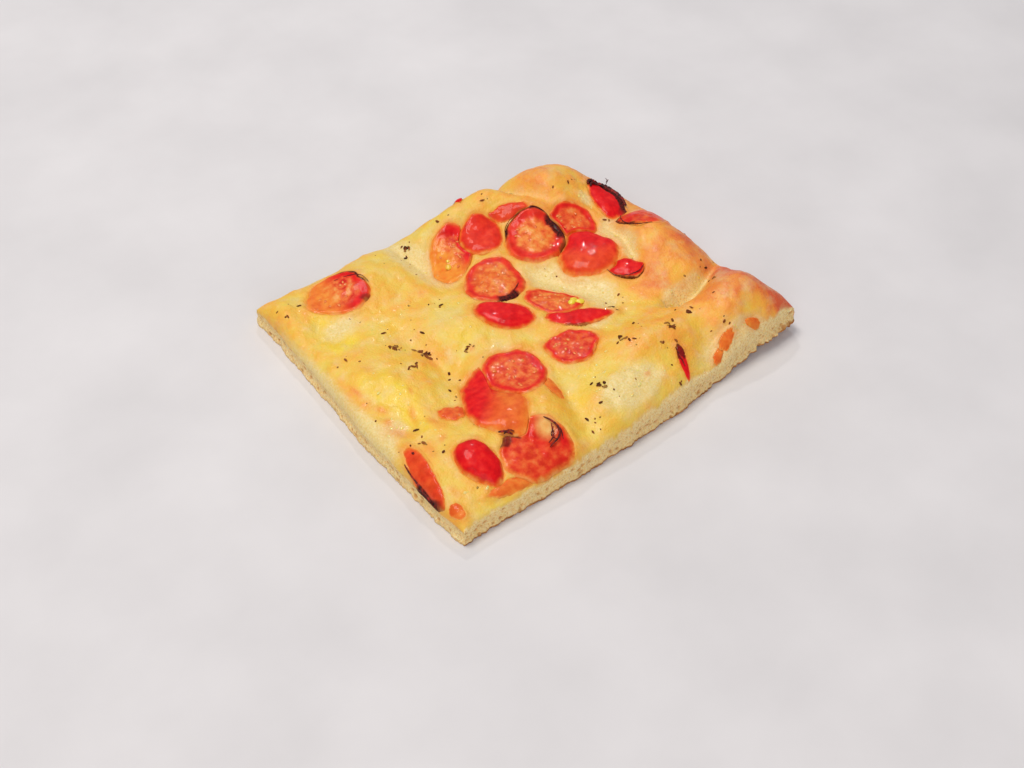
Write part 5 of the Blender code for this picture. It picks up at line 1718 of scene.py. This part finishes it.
@dataclass
class Seeds:
    """Tomato seeds in the chambers of the cut faces."""

    slab: Slab
    half_length: float = 0.95
    half_width: float = 0.62
    half_height: float = 0.32
    for_each: int = 9
    finish: WetSeed = WetSeed()

    def build(self) -> bpy.types.Object:
        """Place and build the seeds.

        Returns:
            The piece.
        """
        draw = random.Random(SEED + 11)
        scatter = Scatter()
        for piece in TOMATOES:
            if piece.kind is not TomatoKind.CUT or piece.rim == 0.0:
                continue
            for _ in range(self.for_each):
                turn = draw.uniform(0.0, 2.0 * math.pi)
                reach = draw.uniform(0.22, 0.66)
                place = piece.outline(np.array(turn), np.array(reach))
                size = draw.uniform(0.75, 1.1)
                self.add_seed(scatter, piece, place, turn, size, 0.0)
        special = {piece.name: piece for piece in TOMATOES}
        for x, y, turn, size in ((-8.6, 40.6, 0.95, 2.1), (-7.0, 43.2, 1.1, 1.4)):
            self.add_seed(scatter, special["slice_yellow_seed"], np.array((x, y)), turn, size, 0.75)
        for x, y, turn, size in ((16.2, -9.9, 0.2, 2.3), (18.6, -11.4, 2.5, 2.3), (17.6, -8.9, 2.4, 1.7)):
            self.add_seed(scatter, special["flesh_centre"], np.array((x, y)), turn, size, 1.0)
        piece = make_mesh("tomato_seeds", scatter.points, scatter.faces, {"bright": scatter.layer})
        piece.data.materials.append(self.finish.material())
        ride(piece, "tomato_flesh")
        return piece

    def add_seed(self, scatter: Scatter, piece: Tomato, place: Array, turn: float, size: float,
                 bright: float) -> None:
        """Add one seed, half sunk in the pulp.

        Args:
            scatter: The mesh that takes it.
            piece: The tomato it lies in.
            place: Its x and y.
            turn: Its direction.
            size: Its size as a share of the usual one.
            bright: How yellow it is.
        """
        points, faces = round_body(5, 10)
        taper = 1.0 - 0.35 * points[:, 0]
        shape = np.stack([points[:, 0] * self.half_length * size,
                          points[:, 1] * self.half_width * size * taper,
                          points[:, 2] * self.half_height * size], -1)
        height = float(self.slab.dough_top(place[0], place[1])) + 0.68 * piece.rise
        matrix = Matrix.Translation((float(place[0]), float(place[1]), height))
        scatter.add(moved(shape, matrix @ Matrix.Rotation(turn, 4, "Z")), faces, bright)


@dataclass
class Strands:
    """Thin dark strands of tomato skin that dried and curled in the oven."""

    slab: Slab
    steps: int = 12
    sectors: int = 8
    flatness: float = 0.65
    finish: CharredSkin = CharredSkin()

    def path(self, bends: tuple[tuple[float, ...], ...]) -> Array:
        """Give a smooth way through the bends of a strand.

        Args:
            bends: X, y and height over the dough of each bend.

        Returns:
            Rows of x, y and z.
        """
        rows = np.array(bends)
        places = np.linspace(0.0, len(rows) - 1.0, self.steps * (len(rows) - 1) + 1)
        ends = np.concatenate([[2.0 * rows[0] - rows[1]], rows, [2.0 * rows[-1] - rows[-2]]])
        way = []
        for place in places:
            start = min(int(place), len(rows) - 2)
            t = place - start
            a, b, c, d = ends[start:start + 4]
            way.append(0.5 * (2.0 * b + (c - a) * t + (2.0 * a - 5.0 * b + 4.0 * c - d) * t * t
                              + (3.0 * b - a - 3.0 * c + d) * t ** 3))
        way = np.array(way)
        way[:, 2] += self.slab.dough_top(way[:, 0], way[:, 1])
        return way

    def tube(self, way: Array, radius: float, draw: random.Random) -> tuple[Array, Faces]:
        """Make one strand, thick and thin by turns and pointed at both ends.

        Args:
            way: Rows of x, y and z along its middle.
            radius: Its usual half width.
            draw: The seeded draw.

        Returns:
            Its points and faces.
        """
        ahead = np.gradient(way, axis=0)
        points, faces = [tuple(way[0])], []
        for number, (place, forward) in enumerate(zip(way, ahead)):
            if number in (0, len(way) - 1):
                continue
            side = Vector((-forward[1], forward[0], 0.0))
            side = side.normalized() if side.length > 1e-6 else Vector((1.0, 0.0, 0.0))
            up = Vector(forward).normalized().cross(side)
            share = number / (len(way) - 1)
            width = radius * (0.35 + 0.65 * math.sin(math.pi * share) ** 0.5)
            for k in range(self.sectors):
                turn = 2.0 * math.pi * k / self.sectors
                reach = width * draw.uniform(0.7, 1.25)
                offset = side * (math.cos(turn) * reach) + up * (math.sin(turn) * reach * self.flatness)
                points.append(tuple(Vector(place) + offset))
        points.append(tuple(way[-1]))
        rings = len(way) - 2
        last = len(points) - 1
        for k in range(self.sectors):
            after = (k + 1) % self.sectors
            faces.append((0, 1 + after, 1 + k))
            for ring in range(rings - 1):
                a, b = 1 + ring * self.sectors + k, 1 + ring * self.sectors + after
                faces.append((a, b, b + self.sectors, a + self.sectors))
            low = 1 + (rings - 1) * self.sectors
            faces.append((low + k, low + after, last))
        return np.array(points), faces

    def build(self) -> bpy.types.Object:
        """Build every strand as one piece.

        Returns:
            The piece.
        """
        draw = random.Random(SEED + 13)
        scatter = Scatter()
        for radius, bends in STRANDS:
            points, faces = self.tube(self.path(bends), radius, draw)
            scatter.add(points, faces)
        piece = make_mesh("charred_strands", scatter.points, scatter.faces, {})
        piece.data.materials.append(self.finish.material())
        ride(piece, "tomato_char")
        return piece


@dataclass
class OilDrops:
    """Small drops of olive oil and juice that stand on the open skin, clear of the tomatoes."""

    slab: Slab
    count: int = 150
    reach: tuple[float, float] = (0.2, 0.6)
    flatness: float = 0.4
    finish: OliveOil = OliveOil()

    def build(self) -> bpy.types.Object:
        """Place and build the drops.

        Returns:
            The piece.
        """
        draw = random.Random(SEED + 17)
        scatter = Scatter()
        rows = OIL_PATCHES + PALE_PATCHES
        body, faces = round_body(6, 12)
        while len(scatter.layer) < self.count * len(body):
            x, y, along, across, _, _ = draw.choice(rows)
            place = (x + draw.gauss(0.0, 0.6) * along, y + draw.gauss(0.0, 0.6) * across)
            size = self.reach[0] + (self.reach[1] - self.reach[0]) * draw.random() ** 2.5
            stretch = np.array((size * draw.uniform(1.0, 1.9), size, size * self.flatness))
            matrix = lie_on(self.slab, *place, draw.uniform(0.0, math.pi))
            if self.on_skin(*place):
                scatter.add(moved(body * stretch, matrix), faces)
        piece = make_mesh("oil_drops", scatter.points, scatter.faces, {})
        piece.data.materials.append(self.finish.material())
        ride(piece, None)
        return piece

    def on_skin(self, x: float, y: float) -> bool:
        """Tell whether a place lies on the open skin, clear of edges and tomatoes."""
        roll = self.slab.edge_roll(np.array([x]), np.array([y]))
        clear = min(float(piece.rim_share(np.array([x]), np.array([y]))[0]) for piece in TOMATOES)
        return float(roll[0][0] * roll[1][0]) > 0.5 and clear > 1.1


@dataclass
class Studio:
    """Pale floor, soft light and the camera at the photograph's angle."""

    camera_place: tuple[float, float, float] = (-0.28846, -0.35183, 0.42381)
    right: tuple[float, float, float] = (0.78655, -0.61748, 0.00803)
    up: tuple[float, float, float] = (0.43118, 0.55845, 0.70867)
    back: tuple[float, float, float] = (-0.44207, -0.55394, 0.70549)
    lens: float = 53.459
    floor_half: float = 3.0
    floor_colours: tuple[tuple[float, str], ...] = ((0.3, "#D9D7DA"), (0.7, "#E3E1E4"))
    key_power: float = 14.0
    sky_strength: float = 0.33

    def build(self) -> None:
        """Build the floor, the lights and the camera."""
        scene = bpy.context.scene
        half = self.floor_half
        mesh = bpy.data.meshes.new("floor")
        mesh.from_pydata([(-half, -half, 0.0), (half, -half, 0.0), (half, half, 0.0), (-half, half, 0.0)],
                         [], [(0, 1, 2, 3)])
        floor = bpy.data.objects.new("floor", mesh)
        scene.collection.objects.link(floor)
        material, shader, node = new_material("painted_floor")
        place = node("TexCoord").outputs["Object"]
        grain = node("TexNoise", {"Vector": place, "Scale": per_mm(60.0), "Detail": 4.0}).outputs["Fac"]
        colour = node("ValToRGB", {0: grain}, self.floor_colours).outputs[0]
        join(material, shader, {"Base Color": colour, "Roughness": 0.75})
        mesh.materials.append(material)
        world = bpy.data.worlds.new("studio")
        world.use_nodes = True
        sky = world.node_tree.nodes["Background"]
        sky.inputs["Color"].default_value = linear("#FAFAFF")
        sky.inputs["Strength"].default_value = self.sky_strength
        scene.world = world
        self.add_light("key", (-0.20, 0.42, 1.60), 0.60, self.key_power, "#FFFAF2")
        self.add_light("glint", (0.42, 0.70, 0.90), 0.045, 1.6, "#FFFFFF")
        self.add_light("fill", (-0.75, -0.85, 0.75), 1.0, 5.5, "#FFF8F0")
        camera = bpy.data.objects.new("camera", bpy.data.cameras.new("camera"))
        camera.data.lens = self.lens
        camera.data.sensor_width = 36.0
        camera.data.clip_start = 0.01
        columns = Matrix((self.right, self.up, self.back)).transposed().to_4x4()
        camera.matrix_world = Matrix.Translation(self.camera_place) @ columns
        scene.collection.objects.link(camera)
        scene.camera = camera
        scene.view_settings.view_transform = "Standard"
        scene.view_settings.look = "None"

    def add_light(self, name: str, place: tuple[float, float, float], size: float, power: float,
                  colour: str) -> None:
        """Add a square soft light that faces the slab.

        Args:
            name: Its name.
            place: Where it hangs, in metres.
            size: Its side, in metres.
            power: Its power, in watts.
            colour: Its hex colour.
        """
        light = bpy.data.lights.new(name, "AREA")
        light.size = size
        light.energy = power
        light.color = linear(colour)[:3]
        thing = bpy.data.objects.new(name, light)
        thing.location = place
        thing.rotation_euler = (-Vector(place)).to_track_quat("-Z", "Y").to_euler()
        bpy.context.scene.collection.objects.link(thing)


def main() -> None:
    """Build the slab, its toppings and the studio in order."""
    logging.basicConfig(level=logging.INFO, format="%(message)s")
    slab = Slab()
    Bread(slab).build()
    tomatoes = TomatoPieces(slab)
    tomatoes.build()
    Oregano(slab, tomatoes).build()
    Seeds(slab).build()
    Strands(slab).build()
    OilDrops(slab).build()
    Studio().build()


if __name__ == "__main__":
    main()
